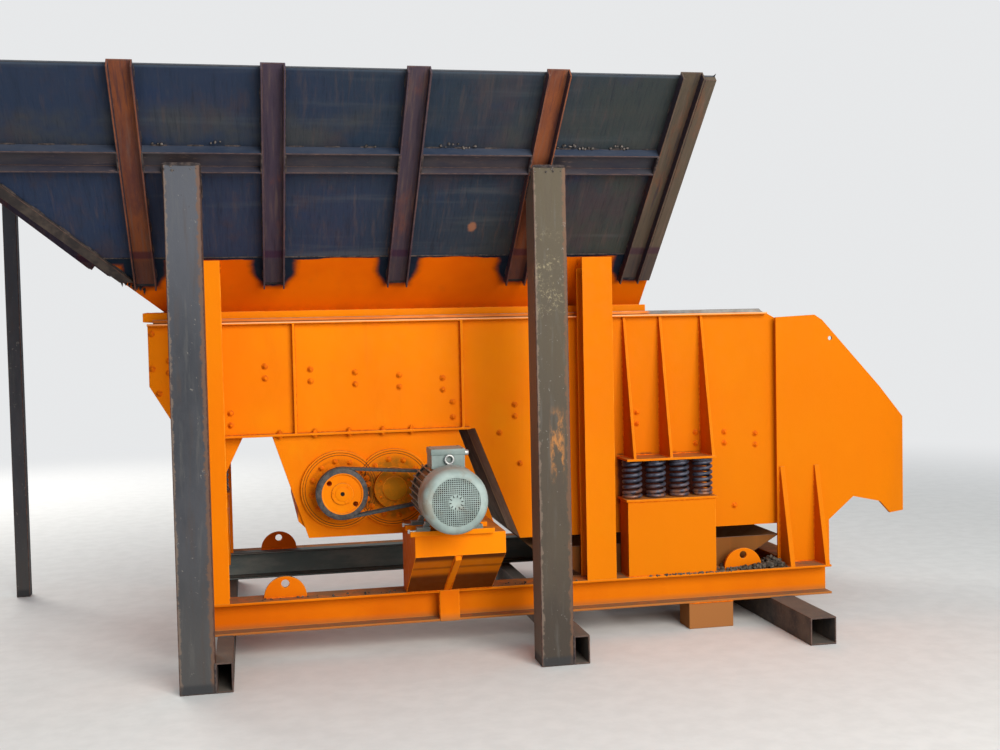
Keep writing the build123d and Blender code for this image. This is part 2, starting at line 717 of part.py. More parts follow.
def bar_underside(x, z, along):
    """Height of a deck's underside at a distance along X from its feed end."""
    slope = math.radians(BAR_SLOPE)
    start = z + BAR_HEIGHT - BAR_HEIGHT * math.cos(slope)
    lean = BAR_HEIGHT * math.sin(slope)
    return start - (along + lean) * math.tan(slope)


def cross_beam(x0, top_z):
    """A box beam across the trough, with its top cut to the slope of the bars."""
    x1 = x0 + CROSS_BEAM_WIDTH
    drop = CROSS_BEAM_WIDTH * math.tan(math.radians(BAR_SLOPE))
    z0 = top_z - drop - CROSS_BEAM_DEPTH
    outline = [(x0, top_z), (x1, top_z - drop), (x1, z0), (x0, z0)]
    reach = TROUGH_INNER_Y - WELD_GAP
    return side_plate(outline, -reach, reach)


def grizzly_cross_beams():
    """Two box beams under each deck."""
    beams = []
    for x, z, places in ((UPPER_BARS_X, UPPER_BARS_Z, UPPER_BEAMS_X),
                         (LOWER_BARS_X, LOWER_BARS_Z, LOWER_BEAMS_X)):
        for place in places:
            beams.append(cross_beam(place, bar_underside(x, z, place - x) - WELD_GAP))
    return beams


def fines_back_plate():
    """The plate that slopes down from the end of the pan, under the grizzly."""
    t = TROUGH_PLATE
    width = t * math.sqrt(1 + DIAGONAL_RATIO ** 2)
    z1 = TROUGH_PAN_Z - WELD_GAP
    x1 = PAN_END_X + WELD_GAP * DIAGONAL_RATIO
    foot_x = DEEP_START_X
    foot_z = TROUGH_DEEP_Z
    outline = [(x1, z1), (x1 + width, z1), (foot_x + width, foot_z), (foot_x, foot_z)]
    reach = TROUGH_INNER_Y - WELD_GAP
    return side_plate(outline, -reach, reach)


def discharge_apron():
    """The plate that closes the trough below the discharge end of the bars."""
    reach = TROUGH_INNER_Y - WELD_GAP
    x1 = TROUGH_FRONT_X
    return block(x1 - TROUGH_PLATE, x1, -reach, reach, TROUGH_DEEP_Z, TROUGH_DEEP_Z + APRON_HEIGHT)


# Springs
def front_spring_x():
    """Centres of the springs at a front corner."""
    first = FRONT_SPRING_X - (FRONT_SPRING_COUNT - 1) / 2 * FRONT_SPRING_PITCH
    return [first + i * FRONT_SPRING_PITCH for i in range(FRONT_SPRING_COUNT)]


def rear_spring_x():
    """Centres of the springs at a rear corner, along X."""
    return [REAR_SPRING_X - REAR_SPRING_PITCH / 2, REAR_SPRING_X + REAR_SPRING_PITCH / 2]


def spring(x, y):
    """One coil spring, as a many-sided sleeve of its coils' inner and outer size."""
    z0 = SPRING_BOTTOM_Z + WELD_GAP
    z1 = SPRING_TOP_Z - WELD_GAP
    outer = RegularPolygon(SPRING_OUTER_RADIUS, SPRING_SIDES)
    ring = outer - RegularPolygon(SPRING_OUTER_RADIUS - SPRING_WIRE, SPRING_SIDES)
    return Pos(x, y, z0) * extrude(ring, amount=z1 - z0)


def front_springs():
    """Four springs in a row at each front corner."""
    springs = []
    for x in front_spring_x():
        springs += both_sides(spring(x, -SPRING_Y))
    return springs


def rear_springs():
    """A square of four springs at each rear corner, under the pan."""
    springs = []
    for x in rear_spring_x():
        for y in REAR_SPRING_Y:
            springs += both_sides(spring(x, -y))
    return springs


def seat_box(x0, x1, y0, y1, z0):
    """A hollow plate pedestal with a top plate that carries springs."""
    z1 = SPRING_BOTTOM_Z - SEAT_PLATE
    w = SEAT_WALL
    box = block(x0 + w, x1 - w, y0 + w, y1 - w, z0, z1)
    box -= block(x0 + 2 * w, x1 - 2 * w, y0 + 2 * w, y1 - 2 * w, z0 - 1, z1)
    return box + block(x0, x1, y0, y1, z1, SPRING_BOTTOM_Z)


def front_spring_seats():
    """Pedestals on the base beams."""
    x0 = FRONT_SPRING_X - SEAT_LENGTH / 2
    seat = seat_box(x0, x0 + SEAT_LENGTH, -BASE_HALF_WIDTH, -SEAT_INNER_Y, BEAM_TOP_Z)
    return both_sides(seat)


def rear_seat_range():
    """Plan limits of a rear pedestal."""
    margin = SPRING_OUTER_RADIUS + SPRING_MARGIN
    x0 = rear_spring_x()[0] - margin
    x1 = rear_spring_x()[1] + margin
    return x0, x1, -REAR_SPRING_Y[0] - margin, -REAR_SPRING_Y[1] + margin


def rear_spring_seats():
    """Pedestals on the rear cross beam."""
    x0, x1, y0, y1 = rear_seat_range()
    z0 = BEAM_TOP_Z - BEAM_FLANGE_THICKNESS - WELD_GAP
    return both_sides(seat_box(x0, x1, y0, y1, z0))


def front_spring_bracket():
    """A shelf over the springs with three tapered gussets up the near side plate."""
    x0 = FRONT_SPRING_X - SEAT_LENGTH / 2 + BRACKET_MARGIN
    x1 = FRONT_SPRING_X + SEAT_LENGTH / 2 - BRACKET_MARGIN
    y0 = -BASE_HALF_WIDTH
    y1 = -TROUGH_HALF_WIDTH - WELD_GAP
    z0 = SPRING_TOP_Z
    z1 = z0 + BRACKET_PLATE
    bracket = block(x0, x1, y0, y1, z0, z1)
    top = TROUGH_TOP_Z - TROUGH_PLATE - WELD_GAP
    profile = [(y1, z1), (y0 + BRACKET_MARGIN, z1), (y1 - GUSSET_TIP, top), (y1, top)]
    half = GUSSET_THICKNESS / 2
    for x in (x0 + GUSSET_INSETS[0], FRONT_SPRING_X, x1 - GUSSET_INSETS[1]):
        bracket += cross_plate(profile, x - half, x + half)
    return bracket


def rear_spring_bracket():
    """A shelf over the rear springs, hung on gussets under the pan."""
    x0, x1, y0, y1 = rear_seat_range()
    z0 = SPRING_TOP_Z
    z1 = z0 + BRACKET_PLATE
    bracket = block(x0, x1, y0, y1, z0, z1)
    top = TROUGH_PAN_Z - WELD_GAP
    left = TROUGH_REAR_X + REAR_CHAMFER_X + REAR_GUSSET_INSET
    profile = [(x0, z1), (x1, z1), (x1 + REAR_GUSSET_FLARE, top), (left, top)]
    half = REAR_GUSSET_THICKNESS / 2
    for y in (y0 + 2 * half, (y0 + y1) / 2, y1 - 2 * half):
        bracket += side_plate(profile, y - half, y + half)
    return bracket


# Exciter
def exciter_frame():
    """The near plate that carries the exciter under the pan."""
    top = TROUGH_PAN_Z - WELD_GAP
    outline = [(EXCITER_TOP[0], top), (EXCITER_TOP[1], top),
               (EXCITER_BOTTOM[1], EXCITER_BOTTOM_Z), (EXCITER_BOTTOM[0], EXCITER_BOTTOM_Z)]
    y0 = -TROUGH_HALF_WIDTH
    return side_plate(outline, y0, y0 + EXCITER_PLATE)


def exciter_housing():
    """The closed box round the two unbalanced shafts."""
    reach = TROUGH_HALF_WIDTH - EXCITER_PLATE - WELD_GAP
    x0 = SHAFT_X[0] - HOUSING_MARGIN
    x1 = SHAFT_X[1] + HOUSING_MARGIN
    z1 = TROUGH_PAN_Z - WELD_GAP
    box = block(x0, x1, -reach, reach, HOUSING_BOTTOM_Z, z1)
    long_edges = box.edges().filter_by(Axis.Y).group_by(Axis.Z)[0]
    return chamfer(long_edges, HOUSING_CHAMFER)


def bearing_cover(left, right, cap_x):
    """One bearing flange, cut at the seam between the two, with its cap."""
    y1 = -TROUGH_HALF_WIDTH - WELD_GAP
    y0 = y1 - BEARING_THICKNESS
    cover = disc_y(cap_x, SHAFT_Z, y0, y1, BEARING_RADIUS)
    cover &= block(left, right, y0 - 1, y1 + 1, SHAFT_Z - BEARING_RADIUS - 1, SHAFT_Z + BEARING_RADIUS + 1)
    cover += disc_y(cap_x, SHAFT_Z, y0 - CAP_THICKNESS, y0, CAP_RADIUS)
    return cover


def bearing_covers():
    """The flanges and caps of both shafts, on both sides."""
    seam = (SHAFT_X[0] + SHAFT_X[1]) / 2
    y0 = -TROUGH_HALF_WIDTH - WELD_GAP - BEARING_THICKNESS - CAP_THICKNESS
    driven = bearing_cover(SHAFT_X[0] - BEARING_RADIUS, seam - WELD_GAP, SHAFT_X[0])
    idle = bearing_cover(seam + WELD_GAP, SHAFT_X[1] + BEARING_RADIUS, SHAFT_X[1])
    idle += disc_y(SHAFT_X[1], SHAFT_Z, y0 - CAP_BOSS_THICKNESS, y0, CAP_BOSS_RADIUS)
    far = [far_copy(driven), far_copy(idle)]
    driven -= disc_y(SHAFT_X[0], SHAFT_Z, y0 - 1, y0 + SHAFT_BORE_DEPTH, SHAFT_RADIUS + SHAFT_CLEARANCE)
    return [driven, idle] + far


# Drive
def wheel(x, z, radius):
    """A solid pulley rim, turning about Y."""
    return disc_y(x, z, BELT_Y - PULLEY_WIDTH / 2, BELT_Y + PULLEY_WIDTH / 2, radius)


def drive_pulley():
    """The exciter's pulley with its hub, its two holes and its end of the shaft."""
    x, z = SHAFT_X[0], SHAFT_Z
    front = BELT_Y - PULLEY_WIDTH / 2
    back = BELT_Y + PULLEY_WIDTH / 2
    pulley = wheel(x, z, DRIVE_PULLEY_RADIUS)
    recess = disc_y(x, z, front - 1, front + PULLEY_RECESS, DRIVE_PULLEY_RADIUS - PULLEY_RIM)
    pulley -= recess - disc_y(x, z, front - 2, back, PULLEY_HUB_RADIUS)
    for angle in (PULLEY_HOLE_ANGLE, PULLEY_HOLE_ANGLE + 180):
        turn = math.radians(angle)
        hole_x = x + PULLEY_HOLE_CIRCLE * math.cos(turn)
        hole_z = z + PULLEY_HOLE_CIRCLE * math.sin(turn)
        pulley -= disc_y(hole_x, hole_z, front - 1, back + 1, PULLEY_HOLE_RADIUS)
    cap_face = -TROUGH_HALF_WIDTH - WELD_GAP - BEARING_THICKNESS - CAP_THICKNESS
    shaft = disc_y(x, z, back, cap_face + SHAFT_BORE_DEPTH - SHAFT_CLEARANCE, SHAFT_RADIUS)
    return pulley + shaft


def motor_pulley():
    """The motor's pulley on its shaft."""
    pulley = wheel(MOTOR_X, MOTOR_Z, MOTOR_PULLEY_RADIUS)
    return pulley + disc_y(MOTOR_X, MOTOR_Z, motor_shield_end() + WELD_GAP, BELT_Y, MOTOR_SHAFT_RADIUS)


def motor_shield_end():
    """Where the motor's end shield stops and its shaft comes out."""
    return MOTOR_FAN_Y + MOTOR_COVER_LENGTH + MOTOR_BODY_LENGTH + MOTOR_SHIELD_LENGTH


def belt_loop(offset):
    """The outline that wraps both pulleys at a distance from their rims."""
    r1 = DRIVE_PULLEY_RADIUS + offset
    r2 = MOTOR_PULLEY_RADIUS + offset
    dx = MOTOR_X - SHAFT_X[0]
    dz = MOTOR_Z - SHAFT_Z
    span = math.hypot(dx, dz)
    lean = math.atan2(dz, dx)
    wrap = math.acos((r1 - r2) / span)
    tangents = []
    for sign in (1, -1):
        angle = lean + sign * wrap
        out = (math.cos(angle), math.sin(angle))
        tangents.append((SHAFT_X[0] + r1 * out[0], SHAFT_Z + r1 * out[1]))
        tangents.append((MOTOR_X + r2 * out[0], MOTOR_Z + r2 * out[1]))
    top1, top2, low1, low2 = [(x, 0, z) for x, z in tangents]
    back = (SHAFT_X[0] - r1 * math.cos(lean), 0, SHAFT_Z - r1 * math.sin(lean))
    nose = (MOTOR_X + r2 * math.cos(lean), 0, MOTOR_Z + r2 * math.sin(lean))
    loop = Line(top1, top2) + ThreePointArc(top2, nose, low2) + Line(low2, low1)
    loop += ThreePointArc(low1, back, top1)
    return make_face(loop)


def drive_belt():
    """The belts, as one loop round both rims."""
    band = extrude(belt_loop(BELT_THICKNESS), amount=BELT_WIDTH, dir=(0, 1, 0))
    hollow = extrude(belt_loop(WELD_GAP), amount=BELT_WIDTH + 2, dir=(0, 1, 0))
    loop = band - Pos(0, -1, 0) * hollow
    return Pos(0, BELT_Y - BELT_WIDTH / 2, 0) * loop


def motor_section():
    """The motor frame's round section with its fins, clear of the feet and the terminal box."""
    section = Circle(MOTOR_RADIUS)
    fin = Pos(0, -MOTOR_RADIUS - MOTOR_FIN_HEIGHT / 2) * Rectangle(MOTOR_FIN, MOTOR_FIN_HEIGHT + 4)
    for side in (-1, 1):
        for i in range(MOTOR_FIN_COUNT):
            section += Rot(0, 0, side * (MOTOR_FIN_FIRST + i * MOTOR_FIN_STEP)) * fin
    return section


def motor_foot(side, y):
    """One of the motor's feet, with the leg that runs up into the frame."""
    foot_x = MOTOR_X + side * MOTOR_FOOT_SPAN / 2
    foot_z = MOTOR_Z - MOTOR_HEIGHT
    half = MOTOR_FOOT_LENGTH / 2
    pad = block(foot_x - half, foot_x + half, y, y + MOTOR_FOOT_DEPTH, foot_z, foot_z + MOTOR_FOOT_HEIGHT)
    root_x = MOTOR_X + side * MOTOR_LEG_ROOT
    root_z = MOTOR_Z - MOTOR_LEG_ROOT
    wide = MOTOR_LEG_THICKNESS / 2
    leg = side_plate(
        [
            (foot_x - wide, foot_z),
            (foot_x + wide, foot_z),
            (root_x + wide, root_z),
            (root_x - wide, root_z),
        ],
        y + MOTOR_LEG_INSET,
        y + MOTOR_FOOT_DEPTH - MOTOR_LEG_INSET,
    )
    return pad + leg


def motor_body():
    """The motor's finned frame, its end shield and its feet."""
    y0 = MOTOR_FAN_Y + MOTOR_COVER_LENGTH
    y1 = y0 + MOTOR_BODY_LENGTH
    rear = Plane(origin=(MOTOR_X, y1, MOTOR_Z), x_dir=(1, 0, 0), z_dir=(0, -1, 0))
    body = extrude(rear * motor_section(), amount=MOTOR_BODY_LENGTH)
    body += disc_y(MOTOR_X, MOTOR_Z, y1, y1 + MOTOR_SHIELD, MOTOR_RADIUS + MOTOR_SHIELD_RIM)
    body += disc_y(MOTOR_X, MOTOR_Z, y1 + MOTOR_SHIELD, motor_shield_end(), MOTOR_NECK_RADIUS)
    for side in (-1, 1):
        for y in (y0 + MOTOR_FOOT_INSET, y1 - MOTOR_FOOT_INSET - MOTOR_FOOT_DEPTH):
            body += motor_foot(side, y)
    return body


def motor_fan_cover():
    """The round cowl over the fan, with a bevelled rim."""
    r = MOTOR_COVER_RADIUS
    c = MOTOR_COVER_ROUND
    b = MOTOR_COVER_BEVEL
    y1 = MOTOR_COVER_LENGTH - WELD_GAP
    rim = [(r - c, 0, 0), (r - b, b, 0), (r, c, 0)]
    outline = Polyline([(0, 0, 0)] + rim + [(r, y1, 0), (0, y1, 0)], close=True)
    return Pos(MOTOR_X, MOTOR_FAN_Y, MOTOR_Z) * revolve(make_face(outline), axis=Axis.Y)


def terminal_box():
    """The cable box on top of the motor."""
    width, depth, height = TERMINAL_BOX
    y0 = MOTOR_FAN_Y + MOTOR_COVER_LENGTH + TERMINAL_BOX_INSET
    z0 = MOTOR_Z + MOTOR_RADIUS + WELD_GAP
    return block(MOTOR_X - width / 2, MOTOR_X + width / 2, y0, y0 + depth, z0, z0 + height)


def motor_slide_rails():
    """The two rails that the motor's feet slide on to tighten the belts."""
    x0 = MOTOR_BASE_X[0] - SLIDE_RAIL_OVERHANG
    z0 = MOTOR_BASE_TOP_Z + WELD_GAP
    z1 = MOTOR_BASE_TOP_Z + SLIDE_RAIL_HEIGHT - WELD_GAP
    near_foot = MOTOR_FAN_Y + MOTOR_COVER_LENGTH + MOTOR_FOOT_INSET + MOTOR_FOOT_DEPTH / 2
    far_foot = near_foot + MOTOR_BODY_LENGTH - 2 * MOTOR_FOOT_INSET - MOTOR_FOOT_DEPTH
    half = SLIDE_RAIL_DEPTH / 2
    return [block(x0, x0 + SLIDE_RAIL_LENGTH, y - half, y + half, z0, z1) for y in (near_foot, far_foot)]


def motor_base():
    """The bracket on the near base beam: a top plate, a deep lip, sides and a sloping back."""
    x0, x1 = MOTOR_BASE_X
    y0 = -BASE_HALF_WIDTH - MOTOR_BASE_REACH
    y1 = -BASE_HALF_WIDTH + MOTOR_BASE_SEAT
    z1 = MOTOR_BASE_TOP_Z
    t = MOTOR_BASE_PLATE
    z0 = z1 - MOTOR_BASE_LIP
    foot_y = -BASE_HALF_WIDTH
    base = block(x0, x1, y0, y1, z1 - t, z1)
    base += block(x0, x1, y0, y0 + t, z0, z1)
    side = [(y0, z1), (y0, z0), (foot_y, BEAM_TOP_Z), (y1, BEAM_TOP_Z), (y1, z1)]
    base += cross_plate(side, x0, x0 + t)
    base += cross_plate(side, x1 - t, x1)
    skin = [(y0, z0), (foot_y, BEAM_TOP_Z), (foot_y + t, BEAM_TOP_Z), (y0 + t, z0)]
    base += cross_plate(skin, x0, x1)
    middle = x0 + MOTOR_BASE_RIB_OFFSET
    half = MOTOR_BASE_RIB_THICKNESS / 2
    rib_y = y0 + t / 2
    rib = [(rib_y, z0), (rib_y, z0 - MOTOR_BASE_RIB_DEPTH), (foot_y, BEAM_TOP_Z), (foot_y + t, BEAM_TOP_Z)]
    return base + cross_plate(rib, middle - half, middle + half)


# Discharge end
def chute_solid(shrink, lift):
    """The chute filled in: an upper box with sloping ends, then a funnel down to the outlet."""
    waist_z = BEAM_TOP_Z - BEAM_FLANGE_THICKNESS
    lean = 1 / math.tan(math.radians(CHUTE_END_ANGLE))
    run = (CHUTE_TOP_Z - waist_z) * lean
    s = shrink / math.sin(math.radians(CHUTE_END_ANGLE))
    x0 = CHUTE_X[0] + s
    x1 = CHUTE_X[1] - s
    y = CHUTE_HALF_WIDTH - shrink
    top = CHUTE_TOP_Z + lift
    upper = [(x0 - lift * lean, top), (x1 + lift * lean, top), (x1 - run, waist_z), (x0 + run, waist_z)]
    out_x0 = CHUTE_OUTLET_X[0] + shrink
    out_x1 = CHUTE_OUTLET_X[1] - shrink
    out_y = CHUTE_OUTLET_HALF_WIDTH - shrink
    foot = CHUTE_BOTTOM_Z - lift
    along = side_plate([(x0 + run, waist_z), (x1 - run, waist_z), (out_x1, foot), (out_x0, foot)], -y, y)
    across = cross_plate([(-y, waist_z), (y, waist_z), (out_y, foot), (-out_y, foot)], x0, x1)
    return side_plate(upper, -y, y) + (along & across)


def fines_chute():
    """The funnel between the base beams that takes what falls through the bars."""
    return chute_solid(0, 0) - chute_solid(CHUTE_PLATE, 1)


def discharge_cheek():
    """The near guide plate at the discharge, bent inwards at its tip."""
    y0 = CHEEK_Y
    y1 = y0 + CHEEK_PLATE
    shoulder_x = CHEEK_REAR_X + CHEEK_TOP_LENGTH
    outline = [
        (CHEEK_REAR_X, BEAM_TOP_Z),
        (CHEEK_REAR_X, CHEEK_TOP_Z - CHEEK_TOP_FALL),
        (shoulder_x, CHEEK_TOP_Z),
        (shoulder_x + CHEEK_SHOULDER[0], CHEEK_TOP_Z - CHEEK_SHOULDER[1]),
        (CHEEK_BEND_X, CHEEK_BEND_TOP_Z),
        (CHEEK_BEND_X, CHEEK_BEND_FOOT_Z),
        (CHEEK_NOTCH_X[1], CHEEK_NOTCH_Z[1]),
        (CHEEK_NOTCH_X[0], CHEEK_NOTCH_Z[0]),
        (CHEEK_NOTCH_X[0], BEAM_TOP_Z),
    ]
    cheek = side_plate(outline, y0, y1)
    cheek -= disc_y(CHEEK_HOLE_X, CHEEK_HOLE_Z, y0 - 1, y1 + 1, CHEEK_HOLE_RADIUS)
    tip_outline = [
        (0, CHEEK_BEND_TOP_Z),
        (CHEEK_TIP_LENGTH, CHEEK_TIP_TOP_Z),
        (CHEEK_TIP_LENGTH, CHEEK_TIP_FOOT_Z),
        (CHEEK_TIP_FOOT_LENGTH, CHEEK_TIP_FOOT_Z),
        (0, CHEEK_BEND_FOOT_Z),
    ]
    tip = side_plate(tip_outline, 0, CHEEK_PLATE)
    cheek += Pos(CHEEK_BEND_X, y0, 0) * Rot(0, 0, CHEEK_BEND_ANGLE) * tip
    top = BEAM_TOP_Z + CHEEK_GUSSET_HEIGHT
    for x in CHEEK_GUSSET_X:
        tip_y = y0 - CHEEK_GUSSET_TIP
        profile = [(y0, BEAM_TOP_Z), (-BASE_HALF_WIDTH, BEAM_TOP_Z), (tip_y, top), (y0, top)]
        cheek += cross_plate(profile, x, x + CHEEK_GUSSET_THICKNESS)
    return cheek


pieces = {
    "base_beam_near": base_beam() + beam_strap(),
    "base_beam_far": far_copy(base_beam()),
    "base_cross_beams": base_cross_beams(),
    "skid_tubes": skid_tubes(),
    "support_legs": support_legs(),
    "lifting_lugs": lifting_lugs(),
    "hopper_columns": hopper_columns(),
    "hopper_posts": hopper_posts(),
    "rear_posts": rear_posts(),
    "hopper_outlet_frame": outlet_frame(),
    "lower_hopper_sides": both_sides(side_wall(HOPPER_BOTTOM_Z, HOPPER_SEAM_Z - WELD_GAP)),
    "lower_hopper_ends": [rear_wall(HOPPER_BOTTOM_Z, HOPPER_SEAM_Z - WELD_GAP),
                          front_wall(HOPPER_BOTTOM_Z, HOPPER_SEAM_Z - WELD_GAP)],
    "hopper_wall_near": side_wall(HOPPER_SEAM_Z, HOPPER_TOP_Z),
    "hopper_wall_far": far_copy(side_wall(HOPPER_SEAM_Z, HOPPER_TOP_Z)),
    "hopper_wall_rear": rear_wall(HOPPER_SEAM_Z, HOPPER_TOP_Z),
    "hopper_wall_front": front_wall(HOPPER_SEAM_Z, HOPPER_TOP_Z),
    "wall_ribs_near": side_ribs(),
    "wall_ribs_far": [far_copy(rib) for rib in side_ribs()],
    "wall_ribs_rear": rear_ribs(),
    "wall_rails_near": side_rails(),
    "wall_rails_far": [far_copy(rail) for rail in side_rails()],
    "wall_rails_rear": rear_rails(),
    "hopper_corner_bars": both_sides(corner_bar()),
    "hopper_front_bars": both_sides(front_edge_bar()),
    "trough_side_near": trough_side(),
    "trough_side_far": far_copy(trough_side()),
    "trough_rear_wall": trough_rear_wall(),
    "trough_pan": trough_pan(),
    "side_liners": both_sides(side_liner()),
    "grizzly_bars_upper": grizzly_bars(UPPER_BARS_X, UPPER_BARS_Z, UPPER_BARS_LENGTH),
    "grizzly_bars_lower": grizzly_bars(LOWER_BARS_X, LOWER_BARS_Z, LOWER_BARS_LENGTH),
    "grizzly_cross_beams": grizzly_cross_beams(),
    "fines_back_plate": fines_back_plate(),
    "discharge_apron": discharge_apron(),
    "front_spring_brackets": both_sides(front_spring_bracket()),
    "rear_spring_brackets": both_sides(rear_spring_bracket()),
    "front_spring_seats": front_spring_seats(),
    "rear_spring_seats": rear_spring_seats(),
    "front_springs": front_springs(),
    "rear_springs": rear_springs(),
    "exciter_frames": both_sides(exciter_frame()),
    "exciter_housing": exciter_housing(),
    "bearing_covers": bearing_covers(),
    "drive_pulley": drive_pulley(),
    "motor_pulley": motor_pulley(),
    "drive_belt": drive_belt(),
    "motor_body": motor_body(),
    "motor_fan_cover": motor_fan_cover(),
    "motor_terminal_box": terminal_box(),
    "motor_slide_rails": motor_slide_rails(),
    "motor_base": motor_base(),
    "fines_chute": fines_chute(),
    "discharge_cheek_near": discharge_cheek(),
    "discharge_cheek_far": far_copy(discharge_cheek()),
}

# Put the origin in the middle of the plan, and write one file for each piece.
os.makedirs("parts", exist_ok=True)
groups = {}
for name, piece in pieces.items():
    solids = piece if isinstance(piece, list) else [piece]
    groups[name] = [s for item in solids for s in item.solids()]
boxes = [s.bounding_box() for solids in groups.values() for s in solids]
middle_x = (min(b.min.X for b in boxes) + max(b.max.X for b in boxes)) / 2
for name, solids in groups.items():
    moved = [Pos(-middle_x, 0, 0) * s for s in solids]
    export_step(Compound(moved), f"parts/{name}.step")

print("feed end of the base frame is at X =", round(-middle_x, 3))
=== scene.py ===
"""Looks of a vibrating grizzly feeder under its receiving hopper.

Every length is in metres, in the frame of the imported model. Places along the machine are
given from the feed end of its base frame, which at() turns into the model's own X.
"""
import math
import random

import bmesh
import bpy
from mathutils import Matrix, Vector, noise


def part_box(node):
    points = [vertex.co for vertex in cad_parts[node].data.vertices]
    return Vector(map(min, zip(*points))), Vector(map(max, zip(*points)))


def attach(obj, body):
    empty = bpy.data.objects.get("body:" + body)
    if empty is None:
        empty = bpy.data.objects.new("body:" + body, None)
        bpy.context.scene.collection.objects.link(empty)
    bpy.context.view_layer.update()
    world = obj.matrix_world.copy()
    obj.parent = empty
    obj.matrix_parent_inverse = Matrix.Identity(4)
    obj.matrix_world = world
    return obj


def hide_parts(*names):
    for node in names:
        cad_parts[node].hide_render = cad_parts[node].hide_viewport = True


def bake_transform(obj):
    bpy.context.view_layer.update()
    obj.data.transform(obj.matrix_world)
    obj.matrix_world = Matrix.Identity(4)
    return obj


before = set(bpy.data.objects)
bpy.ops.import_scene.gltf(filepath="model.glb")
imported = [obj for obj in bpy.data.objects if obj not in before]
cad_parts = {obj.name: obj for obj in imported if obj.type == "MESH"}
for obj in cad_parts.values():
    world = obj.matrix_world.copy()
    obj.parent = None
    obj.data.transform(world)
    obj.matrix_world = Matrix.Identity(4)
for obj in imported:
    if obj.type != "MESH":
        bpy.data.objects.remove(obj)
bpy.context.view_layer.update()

FEED_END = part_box("base_beam_near")[0].x
SEED = random.Random(41)
BACKDROP = (0.80, 0.81, 0.82)

# Sizes that the looks share with the model
SHAFT_X = (0.791, 1.068)
SHAFT_Z = 0.820
MOTOR_X = 1.268
MOTOR_Z = 0.838
MOTOR_RIB_X = 1.312
FAN_FACE_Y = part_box("motor_fan_cover")[0].y
BELT_Y = -0.738
DRIVE_RADIUS = 0.118
MOTOR_RADIUS = 0.064
BASE_Y = -0.762
BASE_TOP = 0.300
SKID_TOP = 0.140
SIDE_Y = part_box("trough_pan")[0].y - 0.012
FLANGE_Y = SIDE_Y - 0.040
PAN_Z = 1.107
PAN_TOP = PAN_Z + 0.012
TROUGH_TOP = 1.690
CHEEK_Y = -0.626
COLUMN_INNER_Y = -0.637
BRACKET_X = (1.102, 1.545)
LUG_X = (0.498, 2.958)
SEAT_X = (2.289, 2.779)
SHELF_Z = 0.927
GUSSET_X = (2.331, 2.534, 2.769)
CHEEK_GUSSET_X = (3.2185, 3.4225)
COLUMN_X = (0.144, 2.137)
POST_X = (0.080, 1.770)
POST_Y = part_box("hopper_posts")[0].y
POST_WIDTH = 0.160
POST_HALF = POST_WIDTH / 2.0
COLUMN_HALF = 0.080
RIB_PITCH = 0.623
RIB_X = tuple(-0.137 + RIB_PITCH * i for i in range(5))
RIB_HALF = 0.0525
RIB_FOOT = 1.890
RAIL_Z = 2.437
SIDE_ANGLE = math.radians(41.44)
REAR_ANGLE = math.radians(39.0)
HOPPER_BOTTOM = 1.745
HOPPER_SEAM = 2.010
HOPPER_TOP = 2.762
HOPPER_FRONT = 2.475
OUTLET_HALF = 0.424
OUTLET_REAR = -0.060


def along(x):
    """The model's own X of a distance from the feed end of the base frame."""
    return FEED_END + x


def at(x, y, z):
    """A point given by its distance from the feed end of the base frame."""
    return Vector((along(x), y, z))


SIDE_OUT = Vector((0.0, -math.sin(SIDE_ANGLE), -math.cos(SIDE_ANGLE)))
RAIL_RISE = 0.060 * math.sin(SIDE_ANGLE)
POST_TOP = HOPPER_BOTTOM - (POST_Y + OUTLET_HALF) * math.tan(SIDE_ANGLE) - 0.050 / math.cos(SIDE_ANGLE)


def half_width(z):
    """Half the hopper's width at a height."""
    return OUTLET_HALF + (z - HOPPER_BOTTOM) / math.tan(SIDE_ANGLE)


def rear_edge(z):
    """Where the rear wall ends the side wall, as a distance along the machine."""
    return OUTLET_REAR - (z - HOPPER_BOTTOM) / math.tan(REAR_ANGLE)


def on_side(x, z, out=0.0):
    """A point on the near side wall of the hopper, or a little out from it."""
    return at(x, -half_width(z), z) + SIDE_OUT * out


def on_rear(y, z):
    """A point on the rear wall of the hopper."""
    return at(rear_edge(z), y, z)


def place(name, data):
    """A new object in the scene."""
    made = bpy.data.objects.new(name, data)
    bpy.context.scene.collection.objects.link(made)
    return made


def place_mesh(name, mesh):
    """A new object from a mesh under construction."""
    data = bpy.data.meshes.new(name)
    mesh.to_mesh(data)
    mesh.free()
    return place(name, data)


# Camera and light
def set_camera():
    """The photograph's viewpoint, from the feed end of the near side."""
    yaw, pitch, roll = (math.radians(angle) for angle in (11.711, 2.481, -1.191))
    turn = (Matrix.Rotation(-yaw, 4, "Z") @ Matrix.Rotation(math.pi / 2.0 - pitch, 4, "X")
            @ Matrix.Rotation(roll, 4, "Z"))
    data = bpy.data.cameras.new("camera")
    data.lens = 43.45
    data.sensor_width = 36.0
    camera = place("camera", data)
    camera.matrix_world = Matrix.Translation((-0.971, -6.8225, 1.6612)) @ turn
    bpy.context.scene.camera = camera


def add_light(name, spot, target, size, power, colour):
    """A round lamp that faces a point."""
    data = bpy.data.lights.new(name, "AREA")
    data.shape = "DISK"
    data.size = size
    data.energy = power
    data.color = colour
    light = place(name, data)
    light.location = spot
    light.rotation_euler = (Vector(target) - Vector(spot)).to_track_quat("-Z", "Y").to_euler()


